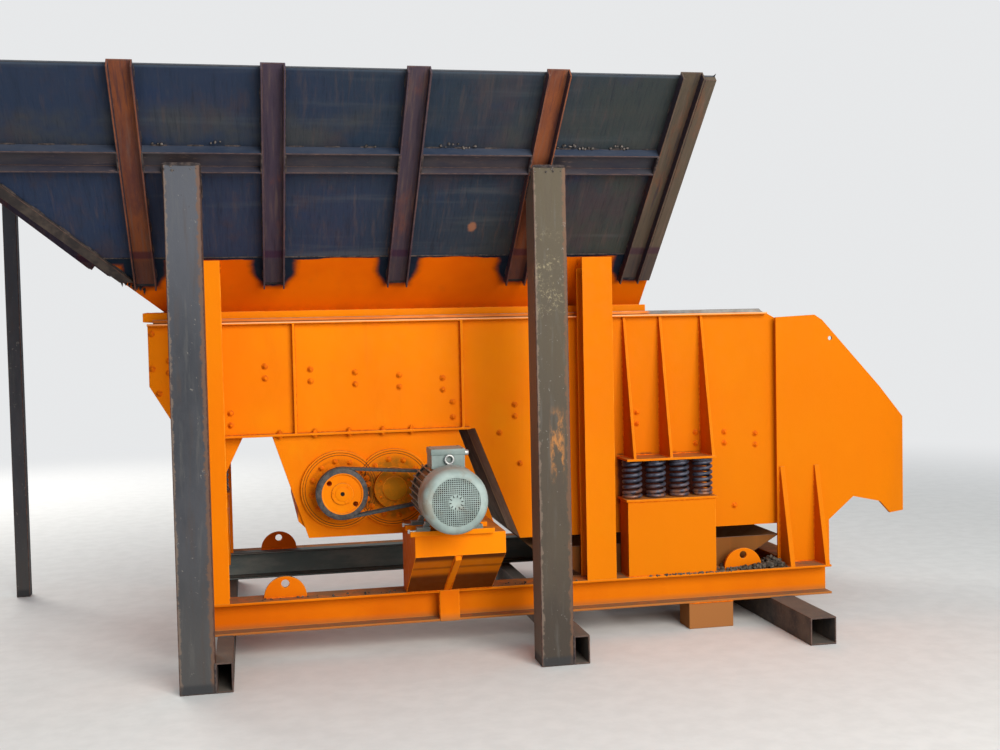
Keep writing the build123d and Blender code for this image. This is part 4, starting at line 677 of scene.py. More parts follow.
def make_finishes():
    """All finishes by their short names."""
    finishes = {
        "orange": painted("orange_paint"),
        "frame": painted("frame_paint", (0.68, 0.130, 0.001), (0.80, 0.185, 0.001),
                         0.5, 0.5, 0.9, 1.4, 0.6),
        # Edges lighter than the frame paint: partly a painted highlight, dusty low down.
        "frame_edge": painted("frame_edge", (0.78, 0.20, 0.002), (0.88, 0.27, 0.010),
                              dust=0.9, fresh_and_shade=0.5),
        "deck": painted("deck_paint", (0.55, 0.10, 0.003), (0.78, 0.18, 0.004), 0.9, 0.7),
        "far_beam": far_beam_paint("far_beam_paint"),
        "old": painted("old_paint", (0.080, 0.028, 0.008), (0.20, 0.075, 0.018), 0.8, 0.8, fresh_and_shade=0.0),
        "sooty": sooty_paint("sooty_paint"),
        "pulley": pulley_paint("pulley_paint"),
        "side": side_paint("side_paint"),
        "bearing": bearing_paint("bearing_paint"),
        "bracket": bracket_paint("bracket_paint"),
        "raw": raw_steel("raw_steel"),
        "rib": rib_steel("rib_steel"),
        "rail": rail_steel("rail_steel"),
        "post": post_steel("post_steel"),
        "skid": skid_steel("skid_steel"),
        "wear": wear_steel("wear_steel"),
        "liner": liner_steel("liner_steel"),
        "back": back_plate_steel("back_plate_steel"),
        "spring": spring_steel("spring_steel"),
        "motor": motor_paint("motor_paint"),
        "casting": motor_paint("casting_paint", tone=0.54),
        "cover": motor_paint("fan_cover_paint", tone=1.32),
    }
    simple = {
        "painted_bolt": ((0.66, 0.120, 0.001), (0.86, 0.195, 0.001), 0.6, 0.0, 60.0, 0.15, 0.0006, 0.06),
        "painted_weld": ((0.62, 0.100, 0.001), (0.86, 0.190, 0.001), 0.6, 0.0, 50.0, 0.2, 0.0006, 0.06),
        # Edge tone lighter than the orange paint: a painted highlight on the bevels.
        "paint_edge": ((0.84, 0.190, 0.002), (0.96, 0.330, 0.020), 0.6, 0.0, 12.0, 0.3, 0.0006, 0.06),
        "stone": ((0.042, 0.036, 0.030), (0.145, 0.118, 0.092), 0.9, 0.0, 28.0, 0.1, 0.003, 0.1),
        "rim": ((0.045, 0.042, 0.044), (0.105, 0.092, 0.086), 0.6, 0.1, 40.0, 0.1),
        "corner": ((0.036, 0.030, 0.030), (0.088, 0.068, 0.056), 0.7, 0.05, 14.0),
        "groove": ((0.10, 0.030, 0.006), (0.24, 0.070, 0.008), 0.8, 0.0, 25.0, 0.0),
        "belt": ((0.040, 0.044, 0.046), (0.085, 0.090, 0.092), 0.68, 0.0, 60.0, 0.1),
        "bolt": ((0.11, 0.075, 0.055), (0.24, 0.17, 0.12), 0.55, 0.4, 55.0),
        "bright": ((0.42, 0.42, 0.42), (0.62, 0.62, 0.60), 0.34, 0.5, 60.0, 0.1),
        "weld": ((0.030, 0.026, 0.030), (0.105, 0.080, 0.072), 0.6, 0.2, 45.0),
        "slag": ((0.050, 0.043, 0.040), (0.19, 0.16, 0.145), 0.75, 0.0, 45.0),
        "scale_edge": ((0.016, 0.018, 0.024), (0.050, 0.048, 0.052), 0.6, 0.1, 25.0),
        "rust_edge": ((0.060, 0.034, 0.030), (0.150, 0.085, 0.065), 0.7, 0.1, 35.0),
        "steel_edge": ((0.12, 0.11, 0.105), (0.26, 0.24, 0.22), 0.45, 0.4, 25.0),
        "motor_edge": ((0.27, 0.325, 0.305), (0.38, 0.43, 0.40), 0.45, 0.0, 25.0),
        # Flat black for painted shade in openings.
        "shade_black": ((0.010, 0.010, 0.010), (0.018, 0.018, 0.018), 0.8, 0.0, 30.0, 0.0),
    }
    finishes.update((name, plain(name, *values)) for name, values in simple.items())
    return {name: finish.material for name, finish in finishes.items()}


# Dressing the model's own solids
def smoothing_group():
    """Shade faces smooth, except across edges sharper than fifty degrees."""
    group = bpy.data.node_groups.new("smooth_faces", "GeometryNodeTree")
    for way in ("INPUT", "OUTPUT"):
        group.interface.new_socket("Geometry", in_out=way, socket_type="NodeSocketGeometry")
    kinds = ("NodeGroupInput", "GeometryNodeSetShadeSmooth", "GeometryNodeSetShadeSmooth",
             "NodeGroupOutput", "GeometryNodeInputMeshEdgeAngle", "FunctionNodeCompare")
    entry, faces, edges, leave, angle, compare = (group.nodes.new(kind) for kind in kinds)
    edges.domain = "EDGE"
    compare.operation = "LESS_THAN"
    compare.inputs[1].default_value = math.radians(50.0)
    for source, target, socket in ((entry, faces, 0), (faces, edges, 0), (angle, compare, 0),
                                   (compare, edges, "Shade Smooth"), (edges, leave, 0)):
        group.links.new(source.outputs[0], target.inputs[socket])
    return group


def round_edges(piece, width):
    """A small bevel along every sharp edge."""
    soft = piece.modifiers.new("soft", "BEVEL")
    soft.width = width
    soft.segments = 2
    soft.limit_method = "ANGLE"
    soft.angle_limit = math.radians(35.0)
    return soft


def shade_smooth(piece):
    piece.modifiers.new("shade", "NODES").node_group = SMOOTHING


def dress(node, material, edge, width):
    """Give a solid its finish, and soften its edges in a slightly different tone, which on the orange
    parts is a painted highlight.
    """
    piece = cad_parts[node]
    piece.data.materials.clear()
    piece.data.materials.append(material)
    piece.data.materials.append(edge)
    piece.modifiers.new("weld", "WELD").merge_threshold = 0.00005
    flat = piece.modifiers.new("flat", "DECIMATE")
    flat.decimate_type = "DISSOLVE"
    flat.angle_limit = math.radians(0.5)
    round_edges(piece, width).material = 1
    shade_smooth(piece)
    piece.modifiers.new("normals", "WEIGHTED_NORMAL").keep_sharp = True


SMOOTHING = smoothing_group()
FINISH = make_finishes()

DRESSING = {
    ("frame", "frame_edge", 0.003): (
        "base_beam_near", "base_cross_beams", "support_legs", "lifting_lugs"),
    ("far_beam", "scale_edge", 0.003): ("base_beam_far",),
    ("orange", "paint_edge", 0.002): (
        "hopper_columns", "hopper_outlet_frame", "front_spring_seats", "rear_spring_seats",
        "motor_slide_rails", "discharge_cheek_near", "discharge_cheek_far", "trough_rear_wall",
        "front_spring_brackets", "rear_spring_brackets", "exciter_frames", "exciter_housing"),
    ("side", "paint_edge", 0.002): ("trough_side_near", "trough_side_far"),
    ("bearing", "paint_edge", 0.002): ("bearing_covers",),
    ("bracket", "paint_edge", 0.002): ("motor_base",),
    ("pulley", "paint_edge", 0.002): ("drive_pulley",),
    ("deck", "paint_edge", 0.002): ("trough_pan", "grizzly_cross_beams", "discharge_apron"),
    ("sooty", "paint_edge", 0.002): ("lower_hopper_sides", "lower_hopper_ends"),
    ("old", "rust_edge", 0.002): ("fines_chute",),
    ("raw", "scale_edge", 0.002): (
        "hopper_wall_near", "hopper_wall_far", "hopper_wall_rear", "hopper_wall_front"),
    ("corner", "rust_edge", 0.002): ("hopper_corner_bars",),
    ("rib", "rust_edge", 0.0015): (
        "wall_ribs_near", "wall_ribs_far", "wall_ribs_rear", "hopper_front_bars"),
    ("rail", "rust_edge", 0.0015): ("wall_rails_near", "wall_rails_far", "wall_rails_rear"),
    ("skid", "rust_edge", 0.003): ("skid_tubes",),
    ("post", "rust_edge", 0.006): ("hopper_posts", "rear_posts"),
    ("wear", "steel_edge", 0.003): ("grizzly_bars_upper", "grizzly_bars_lower"),
    ("back", "rust_edge", 0.002): ("fines_back_plate",),
    ("liner", "steel_edge", 0.002): ("side_liners",),
    ("motor", "motor_edge", 0.0015): ("motor_terminal_box",),
    ("casting", "motor_edge", 0.0012): ("motor_body",),
    ("motor", "motor_edge", 0.001): ("motor_pulley",),
}
for (surface, edge, width), nodes in DRESSING.items():
    for node in nodes:
        dress(node, FINISH[surface], FINISH[edge], width)


# Building new pieces
ALONG = Vector((1.0, 0.0, 0.0))
FAR = Vector((0.0, 1.0, 0.0))
NEAR = -FAR
UP = Vector((0.0, 0.0, 1.0))


def frame_of(axis):
    """A direction, and two more that are square to it."""
    axis = Vector(axis).normalized()
    side = (UP if abs(axis.z) < 0.9 else ALONG).cross(axis).normalized()
    return axis, side, axis.cross(side).normalized()


def ray(angle):
    """A direction in the plane of the near side, at an angle in degrees."""
    angle = math.radians(angle)
    return Vector((math.cos(angle), 0.0, math.sin(angle)))


def circle(x, y, z, radius, angle):
    """A point on a circle that faces the near side."""
    return at(x, y, z) + ray(angle) * radius


def hoop(x, y, z, radius, steps=72):
    """Points all round such a circle."""
    return [circle(x, y, z, radius, 360.0 * k / steps) for k in range(steps)]


def draws(low, high):
    """A vector of three random numbers."""
    return Vector([SEED.uniform(low, high) for _ in range(3)])


class Form:
    """A mesh put together from turned, swept and extruded shapes."""

    def __init__(self):
        self.mesh = bmesh.new()

    def loft(self, rings, closed=False):
        """Skin a row of rings that have the same number of points."""
        rows = [[self.mesh.verts.new(point) for point in ring] for ring in rings]
        count = len(rows[0])
        pairs = list(zip(rows, rows[1:]))
        if closed:
            pairs.append((rows[-1], rows[0]))
        for lower, upper in pairs:
            for k in range(count):
                n = (k + 1) % count
                self.mesh.faces.new((lower[k], lower[n], upper[n], upper[k]))
        if not closed:
            self.mesh.faces.new(rows[0][::-1])
            self.mesh.faces.new(rows[-1])

    def prism(self, outline, sweep):
        """Extrude a flat outline along a vector."""
        sweep = Vector(sweep)
        first = [Vector(point) for point in outline]
        normal = sum(((first[i] - first[0]).cross(first[i + 1] - first[0])
                      for i in range(1, len(first) - 1)), Vector())
        if normal.dot(sweep) < 0.0:
            first.reverse()
        self.loft([first, [point + sweep for point in first]])

    def box(self, low, high):
        corners = [(x, y, low[2]) for x, y in ((low[0], low[1]), (high[0], low[1]),
                                               (high[0], high[1]), (low[0], high[1]))]
        self.prism(corners, (0.0, 0.0, high[2] - low[2]))

    def turned(self, centre, axis, profile, sides=24, turn=0.0):
        """Turn a profile of (distance along the axis, radius) about that axis."""
        axis, side, lift = frame_of(axis)
        angles = [turn + 2.0 * math.pi * k / sides for k in range(sides)]
        self.loft([[Vector(centre) + axis * along + (side * math.cos(a) + lift * math.sin(a)) * radius
                    for a in angles] for along, radius in profile])

    def tube(self, path, radius, sides=8, closed=False):
        """Sweep a round section along points. The radius may be a list."""
        count = len(path)
        rings = []
        side = None
        for k, point in enumerate(path):
            ahead = path[(k + 1) % count] if closed or k < count - 1 else point
            behind = path[k - 1] if closed or k > 0 else point
            axis = (ahead - behind).normalized()
            if side is None:
                side = frame_of(axis)[1]
            side = (side - axis * side.dot(axis)).normalized()
            lift = axis.cross(side)
            size = radius[k] if isinstance(radius, list) else radius
            rings.append([point + (side * math.cos(a) + lift * math.sin(a)) * size
                          for a in (2.0 * math.pi * j / sides for j in range(sides))])
        self.loft(rings, closed=closed)

    def bolt(self, foot, axis, flats, height, washer=True, stub=0.0):
        """A washer, a hexagon nut and the end of its stud."""
        rise, sunk = 0.0, -0.001
        if washer:
            rim = flats * 0.84
            self.turned(foot, axis, ((sunk, rim), (0.003, rim), (0.0035, flats * 0.80)), 18)
            rise = 0.003
        corner = flats / math.sqrt(3.0)
        turn = SEED.uniform(0.0, 1.0)
        nut = ((rise + sunk, corner), (rise + height * 0.86, corner), (rise + height, corner * 0.88))
        self.turned(foot, axis, nut, 6, turn)
        if stub > 0.0:
            thread = flats * 0.31
            end = rise + height + stub
            stud = ((rise, thread), (end - stub * 0.2, thread), (end, thread * 0.75))
            self.turned(foot, axis, stud, 10)

    def bead(self, start, end, radius=0.006):
        """A weld bead: a rippled run along a corner."""
        steps = max(2, int((end - start).length / 0.016))
        path, sizes = [], []
        for k in range(steps + 1):
            path.append(start.lerp(end, k / steps) + draws(-1, 1) * radius * 0.12)
            sizes.append(radius * SEED.uniform(0.82, 1.12) * (0.6 if k in (0, steps) else 1.0))
        self.tube(path, sizes, 6)

    def seam(self, start, end, y, z, radius=0.006):
        """A bead along the machine."""
        self.bead(at(start, y, z), at(end, y, z), radius)

    def both_faces(self, middle, half, *points, radius=0.005):
        """Beads on both faces of a plate that stands across the machine."""
        for x in (middle - half, middle + half):
            for start, end in zip(points, points[1:]):
                self.bead(at(x, *start), at(x, *end), radius)

    def stitches(self, start, end, run, pitch, radius=0.006):
        """Short weld beads with gaps between them."""
        length = (end - start).length
        place = SEED.uniform(0.01, 0.05)
        while place + run < length:
            self.bead(start.lerp(end, place / length), start.lerp(end, (place + run) / length), radius)
            place += pitch * SEED.uniform(0.85, 1.15)

    def stone(self, centre, size):
        """A broken stone or a lump of slag: a squashed ball with its points moved by noise."""
        made = bmesh.ops.create_icosphere(self.mesh, subdivisions=2, radius=1.0)
        lean = Vector((SEED.uniform(-1, 1), SEED.uniform(-1, 1), 1.0)).normalized()
        turn = Matrix.Rotation(SEED.uniform(0, 6.28), 3, lean)
        shape = Vector([SEED.uniform(*limits) for limits in ((0.7, 1.1), (0.6, 1.0), (0.45, 0.75))])
        shift = draws(0, 50)
        for vert in made["verts"]:
            push = 1.0 + 0.45 * noise.noise(vert.co * 1.3 + shift)
            vert.co = centre + turn @ (vert.co * shape) * push * size

    def spike(self, foot, point, radius):
        """A drip left by the cutting torch."""
        reach = (point - foot).length
        shares = ((0.0, 1.0), (0.4, 0.7), (0.75, 0.35), (1.0, 0.1))
        self.turned(foot, point - foot, [(reach * far, radius * wide) for far, wide in shares], 7)

    def mirrored(self):
        """Add the same shapes on the far side."""
        parts = self.mesh.verts[:] + self.mesh.edges[:] + self.mesh.faces[:]
        made = bmesh.ops.duplicate(self.mesh, geom=parts)["geom"]
        for vert in (part for part in made if isinstance(part, bmesh.types.BMVert)):
            vert.co.y = -vert.co.y
        faces = [part for part in made if isinstance(part, bmesh.types.BMFace)]
        bmesh.ops.reverse_faces(self.mesh, faces=faces)
        return self

    def piece(self, name, finish, slot, body, stands_for=(), soften=0.0):
        """Make the object, and say what it rides on and takes its finish from."""
        self.mesh.normal_update()
        made = place_mesh(name, self.mesh)
        made.data.materials.append(FINISH[finish])
        if soften > 0.0:
            round_edges(made, soften)
        shade_smooth(made)
        if body:
            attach(made, body)
        if stands_for:
            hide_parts(*stands_for)
        return made


# Springs
FRONT_PITCH = 0.1325
FRONT_COIL = 0.0455
REAR_COIL = 0.0405
SPRING_BOTTOM = 0.7122
SPRING_TOP = 0.9148
SPRING_TURNS = 7.5
WIRE = 0.0092
SHUT_TURNS = 0.75
SHUT_RISE = 0.004


def coil_path(x, y, turn, coil):
    """The line of a spring's wire, with a nearly closed turn at each end."""
    low, high = SPRING_BOTTOM + WIRE, SPRING_TOP - WIRE
    live_turns = SPRING_TURNS - 2.0 * SHUT_TURNS
    rise = (high - low - 2.0 * SHUT_TURNS * SHUT_RISE) / live_turns
    steps = int(SPRING_TURNS * 26)
    path = []
    for k in range(steps + 1):
        part = k / steps * SPRING_TURNS
        live = min(max(part - SHUT_TURNS, 0.0), live_turns)
        angle = turn + 2.0 * math.pi * part
        spot = at(x, y, low + live * rise + (part - live) * SHUT_RISE)
        path.append(spot + Vector((math.cos(angle), math.sin(angle), 0.0)) * coil)
    return path


def add_springs():
    """Coils in place of the sleeves: four on each seat in front, four on each behind."""
    front, rear = Form(), Form()
    for side in (-1.0, 1.0):
        for i in range(4):
            x = GUSSET_X[1] + FRONT_PITCH * (i - 1.5)
            front.tube(coil_path(x, side * 0.682, 0.6 * i + 1.0, FRONT_COIL), WIRE, 9)
        for i, x in enumerate((0.052, 0.164)):
            for y in (0.471, 0.359):
                rear.tube(coil_path(x, side * y, 0.9 * i + y * 9.0, REAR_COIL), WIRE, 9)
    made = front.piece("front_spring_coils", "spring", "spring_steel", None, ("front_springs",))
    at(2.534, 0.0, SPRING_BOTTOM)
    at(2.534, 0.0, SPRING_TOP)
    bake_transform(made)
    made = rear.piece("rear_spring_coils", "spring", "spring_steel", None, ("rear_springs",))
    at(0.108, 0.0, SPRING_BOTTOM)
    at(0.108, 0.0, SPRING_TOP)
    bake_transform(made)


# Belts, pulleys and bearings
def belt_ring():
    """Points round both pulleys, with their outward directions."""
    first = at(SHAFT_X[0], 0.0, SHAFT_Z)
    second = at(MOTOR_X, 0.0, MOTOR_Z)
    span = second - first
    lean = math.degrees(math.atan2(span.z, span.x))
    cone = math.degrees(math.acos((DRIVE_RADIUS - MOTOR_RADIUS) / span.length))

    def arc(centre, radius, start, end, steps):
        outs = [ray(start + (end - start) * k / steps) for k in range(steps + 1)]
        return [(centre + out * radius, out) for out in outs]

    def straight(start, end):
        return [(start[0].lerp(end[0], k / 10), start[1]) for k in range(1, 10)]

    large = arc(first, DRIVE_RADIUS, lean + cone, lean + 360.0 - cone, 40)
    small = arc(second, MOTOR_RADIUS, lean - cone, lean + cone, 24)
    return large + straight(large[-1], small[0]) + small + straight(small[-1], large[0])


def add_belts():
    """Three V belts side by side."""
    belts = Form()
    half = ((0.0005, -0.0060), (0.0035, -0.0075), (0.0120, -0.0090), (0.0138, -0.0080))
    section = half + tuple((high, -wide) for high, wide in reversed(half))
    for offset in (-0.0205, 0.0, 0.0205):
        belts.loft([[point + FAR * (BELT_Y + offset + wide) + out * high for high, wide in section]
                    for point, out in belt_ring()], closed=True)
    made = belts.piece("v_belts", "belt", "belt_rubber", None, ("drive_belt",))
    at(MOTOR_X, BELT_Y, SHAFT_Z)
    at(SHAFT_X[0], BELT_Y, SHAFT_Z)
    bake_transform(made)


def add_bearings():
    """Bolts and rings on the bearing housings, and the lips and hub of the pulley."""
    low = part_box("bearing_covers")[0].y
    plate = SIDE_Y - 0.0243
    bolts, rings, lips, hub = Form(), Form(), Form(), Form()
    for x in SHAFT_X:
        for k in range(12):
            bolts.bolt(circle(x, plate, SHAFT_Z, 0.148, 9.0 + 30.0 * k), NEAR, 0.018, 0.009, stub=0.005)
        for k in range(6):
            spot = circle(x, low + 0.012, SHAFT_Z, 0.083, 30.0 + 60.0 * k)
            bolts.bolt(spot, NEAR, 0.014, 0.006, False)
        for radius in (0.190, 0.178):
            rings.tube(hoop(x, plate, SHAFT_Z, radius), 0.0018, 6, closed=True)
    bolts.mirrored().piece("bearing_bolts", "painted_bolt", "orange_paint", "trough")
    rings.mirrored().piece("bearing_rings", "groove", "orange_paint", "trough")
    profile = ((0.0, 0.104), (0.0, 0.1265), (0.0010, 0.1280), (0.0018, 0.1280),
               (0.0028, 0.1265), (0.0028, 0.104))
    for side in (-1, 1):
        hoops = [hoop(SHAFT_X[0], BELT_Y + side * (0.0305 + along), SHAFT_Z, radius)
                 for along, radius in profile]
        lips.loft(hoops[::side], closed=True)
    lips.piece("pulley_lips", "rim", "orange_paint", "drive_pulley")
    cap = ((0.0, 0.036), (0.0072, 0.036), (0.0078, 0.034))
    hub.turned(at(SHAFT_X[0], BELT_Y - 0.029, SHAFT_Z), NEAR, cap, 36)
    for k in range(3):
        spot = circle(SHAFT_X[0], BELT_Y - 0.030, SHAFT_Z, 0.045, 50.0 + 120.0 * k)
        hub.turned(spot, NEAR, ((0.0, 0.0055), (0.0065, 0.0055), (0.0070, 0.0045)), 12)
    hub.piece("pulley_hub_cap", "pulley", "orange_paint", "drive_pulley")


# Motor
def add_fan_cover():
    """A pressed cover with a perforated face, in front of the fan."""
    shroud, grille, slots, back = Form(), Form(), Form(), Form()
    face = FAN_FACE_Y
    profile = ((0.170, 0.1565), (0.045, 0.1565), (0.030, 0.1545), (0.018, 0.1495), (0.008, 0.1415),
               (0.002, 0.1315), (0.0, 0.1240), (0.0, 0.1140), (0.003, 0.1125), (0.005, 0.1140),
               (0.0028, 0.1240), (0.0048, 0.1305), (0.0105, 0.1395), (0.020, 0.1470),
               (0.032, 0.1518), (0.046, 0.1538), (0.170, 0.1538))
    shroud.loft([hoop(MOTOR_X, face + along, MOTOR_Z, radius)
                 for along, radius in reversed(profile)], closed=True)
    shroud.piece("fan_shroud", "cover", "motor_paint", "base", ("motor_fan_cover",))
    pitch, half_bar, reach, thick = 0.0098, 0.00165, 0.1132, 0.0022
    count = int(reach / pitch)
    for offset in (i * pitch for i in range(-count, count + 1)):
        half = math.sqrt(reach ** 2 - offset ** 2)
        for x, z, wide, high, deep in ((0.0, offset, half, half_bar, 0.0035),
                                       (offset, 0.0, half_bar, half, 0.0030)):
            grille.box(at(MOTOR_X + x - wide, face + deep, MOTOR_Z + z - high),
                       at(MOTOR_X + x + wide, face + deep + thick, MOTOR_Z + z + high))
    boss = ((0.0, 0.036), (0.0042, 0.036), (0.0046, 0.034), (0.0046, 0.0240),
            (0.0036, 0.0228), (0.0036, 0.001))
    grille.turned(at(MOTOR_X, face + 0.0062, MOTOR_Z), NEAR, boss, 36)
    grille.piece("fan_grille", "cover", "motor_paint", "base")
    # Black marks on the boss: painted shade where the slots would be dark.
    for out in (ray(36.0 * k + 8.0) for k in range(10)):
        middle = at(MOTOR_X, face + 0.0012, MOTOR_Z) + out * 0.0285
        corners = ((-0.005, -0.0022), (0.005, -0.0022), (0.005, 0.0022), (-0.005, 0.0022))
        slots.prism([middle + out * a + out.cross(FAR) * b for a, b in corners], NEAR * 0.0009)
    slots.piece("fan_slots", "shade_black", "motor_paint", "base")
    # A black disc behind the fan: painted shade inside the cover.
    back.turned(at(MOTOR_X, face + 0.135, MOTOR_Z), FAR, ((0.0, 0.150), (0.004, 0.150)), 48)
    back.piece("fan_backing", "shade_black", "motor_paint", "base")


def add_fan():
    """The motor's cooling fan, which turns behind the grille."""
    fan = Form()
    hub = ((0.0, 0.040), (0.060, 0.036), (0.064, 0.020))
    fan.turned(at(MOTOR_X, FAN_FACE_Y + 0.110, MOTOR_Z), NEAR, hub, 24)
    for out in (ray(45.0 * k + 10.0) for k in range(8)):
        side = out.cross(NEAR)
        root = at(MOTOR_X, FAN_FACE_Y + 0.050, MOTOR_Z) - side * 0.002
        blade = ((0.030, 0.0), (0.128, 0.0), (0.128, 0.050), (0.030, 0.055))
        fan.prism([root + out * far + FAR * deep for far, deep in blade], side * 0.004)
    fan.piece("cooling_fan", "belt", "motor_paint", "motor_pulley")


def add_motor_fittings():
    """Lid, screws, gland, lifting eye and fixing bolts of the motor."""
    lid, screws, gland, eye, bolts = Form(), Form(), Form(), Form(), Form()
    low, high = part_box("motor_terminal_box")
    lid.box((low.x - 0.003, low.y - 0.003, high.z - 0.030),
            (high.x + 0.003, high.y + 0.003, high.z - 0.0005))
    lid.piece("terminal_lid", "motor", "motor_paint", "base", soften=0.003)
    head = ((0.0, 0.006), (0.0028, 0.006), (0.004, 0.004))
    for x in (low.x + 0.012, high.x - 0.012):
        for y in (low.y + 0.012, high.y - 0.012):
            screws.turned((x, y, high.z - 0.002), UP, head, 12)
    screws.piece("terminal_screws", "bolt", "motor_paint", "base")
    spot = Vector((high.x, (low.y + high.y) / 2 - 0.02, 1.040))
    gland.turned(spot, ALONG, ((-0.004, 0.017), (0.006, 0.017), (0.0065, 0.015)), 6)
    cone = ((0.004, 0.0135), (0.022, 0.0135), (0.026, 0.0115), (0.028, 0.0085))
    gland.turned(spot, ALONG, cone, 18)
    gland.piece("cable_gland", "bright", "motor_paint", "base")
    eye_x, eye_y = MOTOR_X + 0.003, -1.172
    eye.tube(hoop(eye_x, eye_y, 1.016, 0.0195, 30), 0.0052, 10, closed=True)
    shank = ((0.0, 0.0075), (0.020, 0.0075), (0.0205, 0.014), (0.026, 0.014), (0.032, 0.007))
    eye.turned(at(eye_x, eye_y, MOTOR_Z + 0.128), UP, shank, 16)
    eye.piece("lifting_eye", "bright", "motor_paint", "base")
    low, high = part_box("motor_slide_rails")
    for x in (MOTOR_X - 0.115, MOTOR_X + 0.115):
        for y in (low.y + 0.025, high.y - 0.025):
            bolts.bolt(at(x, y, high.z + 0.018), UP, 0.019, 0.010, stub=0.012)
    for y in (low.y + 0.020, high.y - 0.020):
        end = at(1.072, y, (low.z + high.z) / 2 + 0.012)
        bolts.turned(end, ALONG, ((0.0, 0.006), (0.064, 0.006)), 10)
        bolts.turned(end - ALONG * 0.006, ALONG, ((0.0, 0.010), (0.009, 0.011)), 6)
    bolts.piece("motor_bolts", "bright", "motor_paint", "base")


# Bolts in the trough
def add_trough_bolts():
    """Liner bolts: nuts outside, flat heads inside."""
    pairs = [(0.429 + 0.228 * i, 1.464 - 0.0213 * i, 0.061) for i in range(5)]
    pairs += [(0.253, 1.231, 0.061), (1.391, 1.252, 0.080), (1.724, 1.226, 0.061),
              (2.401, 1.161, 0.061), (2.737, 1.040, 0.061), (2.904, 1.035, 0.061), (3.085, 1.019, 0.061)]
    places = [(1.639, 1.080), (1.747, 0.912), (2.959, 0.625), (-0.121, 1.641), (-0.122, 1.467),
              (-0.092, 1.342), (-0.039, 1.505), (-0.041, 1.445)]
    places += [(x, z - drop) for x, z, gap in pairs for drop in (0.0, gap)]
    nuts, heads = Form(), Form()
    for x, z in places:
        nuts.bolt(at(x, SIDE_Y, z), NEAR, 0.020, 0.010, stub=0.007)
        if x > 0.0 and z > 1.15:
            head = ((-0.002, 0.015), (0.002, 0.015), (0.003, 0.012))
            heads.turned(at(x, SIDE_Y + 0.022, z), FAR, head, 14)
    for x in (0.495, 0.672, 0.847, 1.020, 1.169):
        nuts.bolt(at(x, SIDE_Y - 0.020, PAN_TOP), UP, 0.020, 0.010, stub=0.008)
        nuts.bolt(at(x, SIDE_Y - 0.020, PAN_Z), -UP, 0.020, 0.009)
    nuts.mirrored().piece("trough_nuts", "painted_bolt", "orange_paint", "trough")
    heads.mirrored().piece("liner_bolt_heads", "bright", "wear_steel", "trough")


# Welds
def add_trough_welds():
    """Beads on the trough's stiffeners, flanges and spring brackets."""
    welds = Form()
    inner, tip = SIDE_Y - 0.001, FLANGE_Y + 0.006
    under = TROUGH_TOP - 0.012
    for x in (0.575, 1.441):
        welds.both_faces(x, 0.006, (tip, PAN_TOP), (inner, PAN_TOP), (inner, under), (tip, under))
    welds.seam(-0.139, 3.148, inner, under, 0.004)
    welds.seam(0.018, 1.478, inner, PAN_TOP, 0.004)
    welds.seam(0.455, 1.418, inner, PAN_Z)
    for x in GUSSET_X:
        welds.both_faces(x, 0.007, (BASE_Y + 0.010, SHELF_Z), (inner, SHELF_Z), (inner, under))
    for z in (SHELF_Z, SHELF_Z - 0.012):
        welds.seam(2.285, 2.783, inner, z)
    welds.mirrored().piece("trough_welds", "painted_weld", "orange_paint", "trough")


def add_base_welds():
    """Beads where the columns, seats, lugs, cheeks, skids and motor bracket meet the base beams."""
    welds, motor = Form(), Form()
    for x in COLUMN_X:
        for y in (BASE_Y + 0.009, COLUMN_INNER_Y):
            welds.seam(x - COLUMN_HALF, x + COLUMN_HALF, y, BASE_TOP)
        welds.both_faces(x, 0.0045, (BASE_Y + 0.012, BASE_TOP), (-0.648, BASE_TOP))
        welds.both_faces(x, COLUMN_HALF, (COLUMN_INNER_Y, 1.931), (-0.702, 1.989))
    for z in (BASE_TOP, 0.700):
        welds.seam(*SEAT_X, BASE_Y + 0.010, z)
        for x in SEAT_X:
            welds.bead(at(x, BASE_Y + 0.010, z), at(x, -0.612, z))
    for x in LUG_X:
        for y in (-0.692, -0.672):
            welds.seam(x - 0.107, x + 0.107, y, BASE_TOP)
    for x in CHEEK_GUSSET_X:
        welds.both_faces(x, 0.0125, (BASE_Y + 0.004, BASE_TOP), (CHEEK_Y, BASE_TOP), (CHEEK_Y, 0.835))
    welds.seam(3.192, 3.445, CHEEK_Y, BASE_TOP)
    welds.seam(2.620, 2.870, -0.757, SKID_TOP)
    welds.seam(-0.164, HOPPER_FRONT, -OUTLET_HALF, HOPPER_BOTTOM, 0.005)
    welds.mirrored().piece("frame_welds", "painted_weld", "orange_paint", "base")
    foot = (BASE_Y - 0.001, BASE_TOP + 0.001)
    motor.both_faces(MOTOR_RIB_X, 0.015, (-1.136, 0.546), foot, radius=0.006)
    motor.seam(*BRACKET_X, *foot, 0.005)
    for z in (0.152, 0.288):
        motor.bead(at(1.272, BASE_Y, z), at(1.272, BASE_Y + 0.010, z), 0.004)
    for x in (1.272, 1.372):
        motor.bead(at(x, BASE_Y + 0.002, 0.154), at(x, BASE_Y + 0.002, 0.286), 0.004)
    motor.seam(*BRACKET_X, BASE_Y + 0.114, BASE_TOP, 0.005)
    motor.piece("motor_base_welds", "painted_weld", "orange_paint", "base")


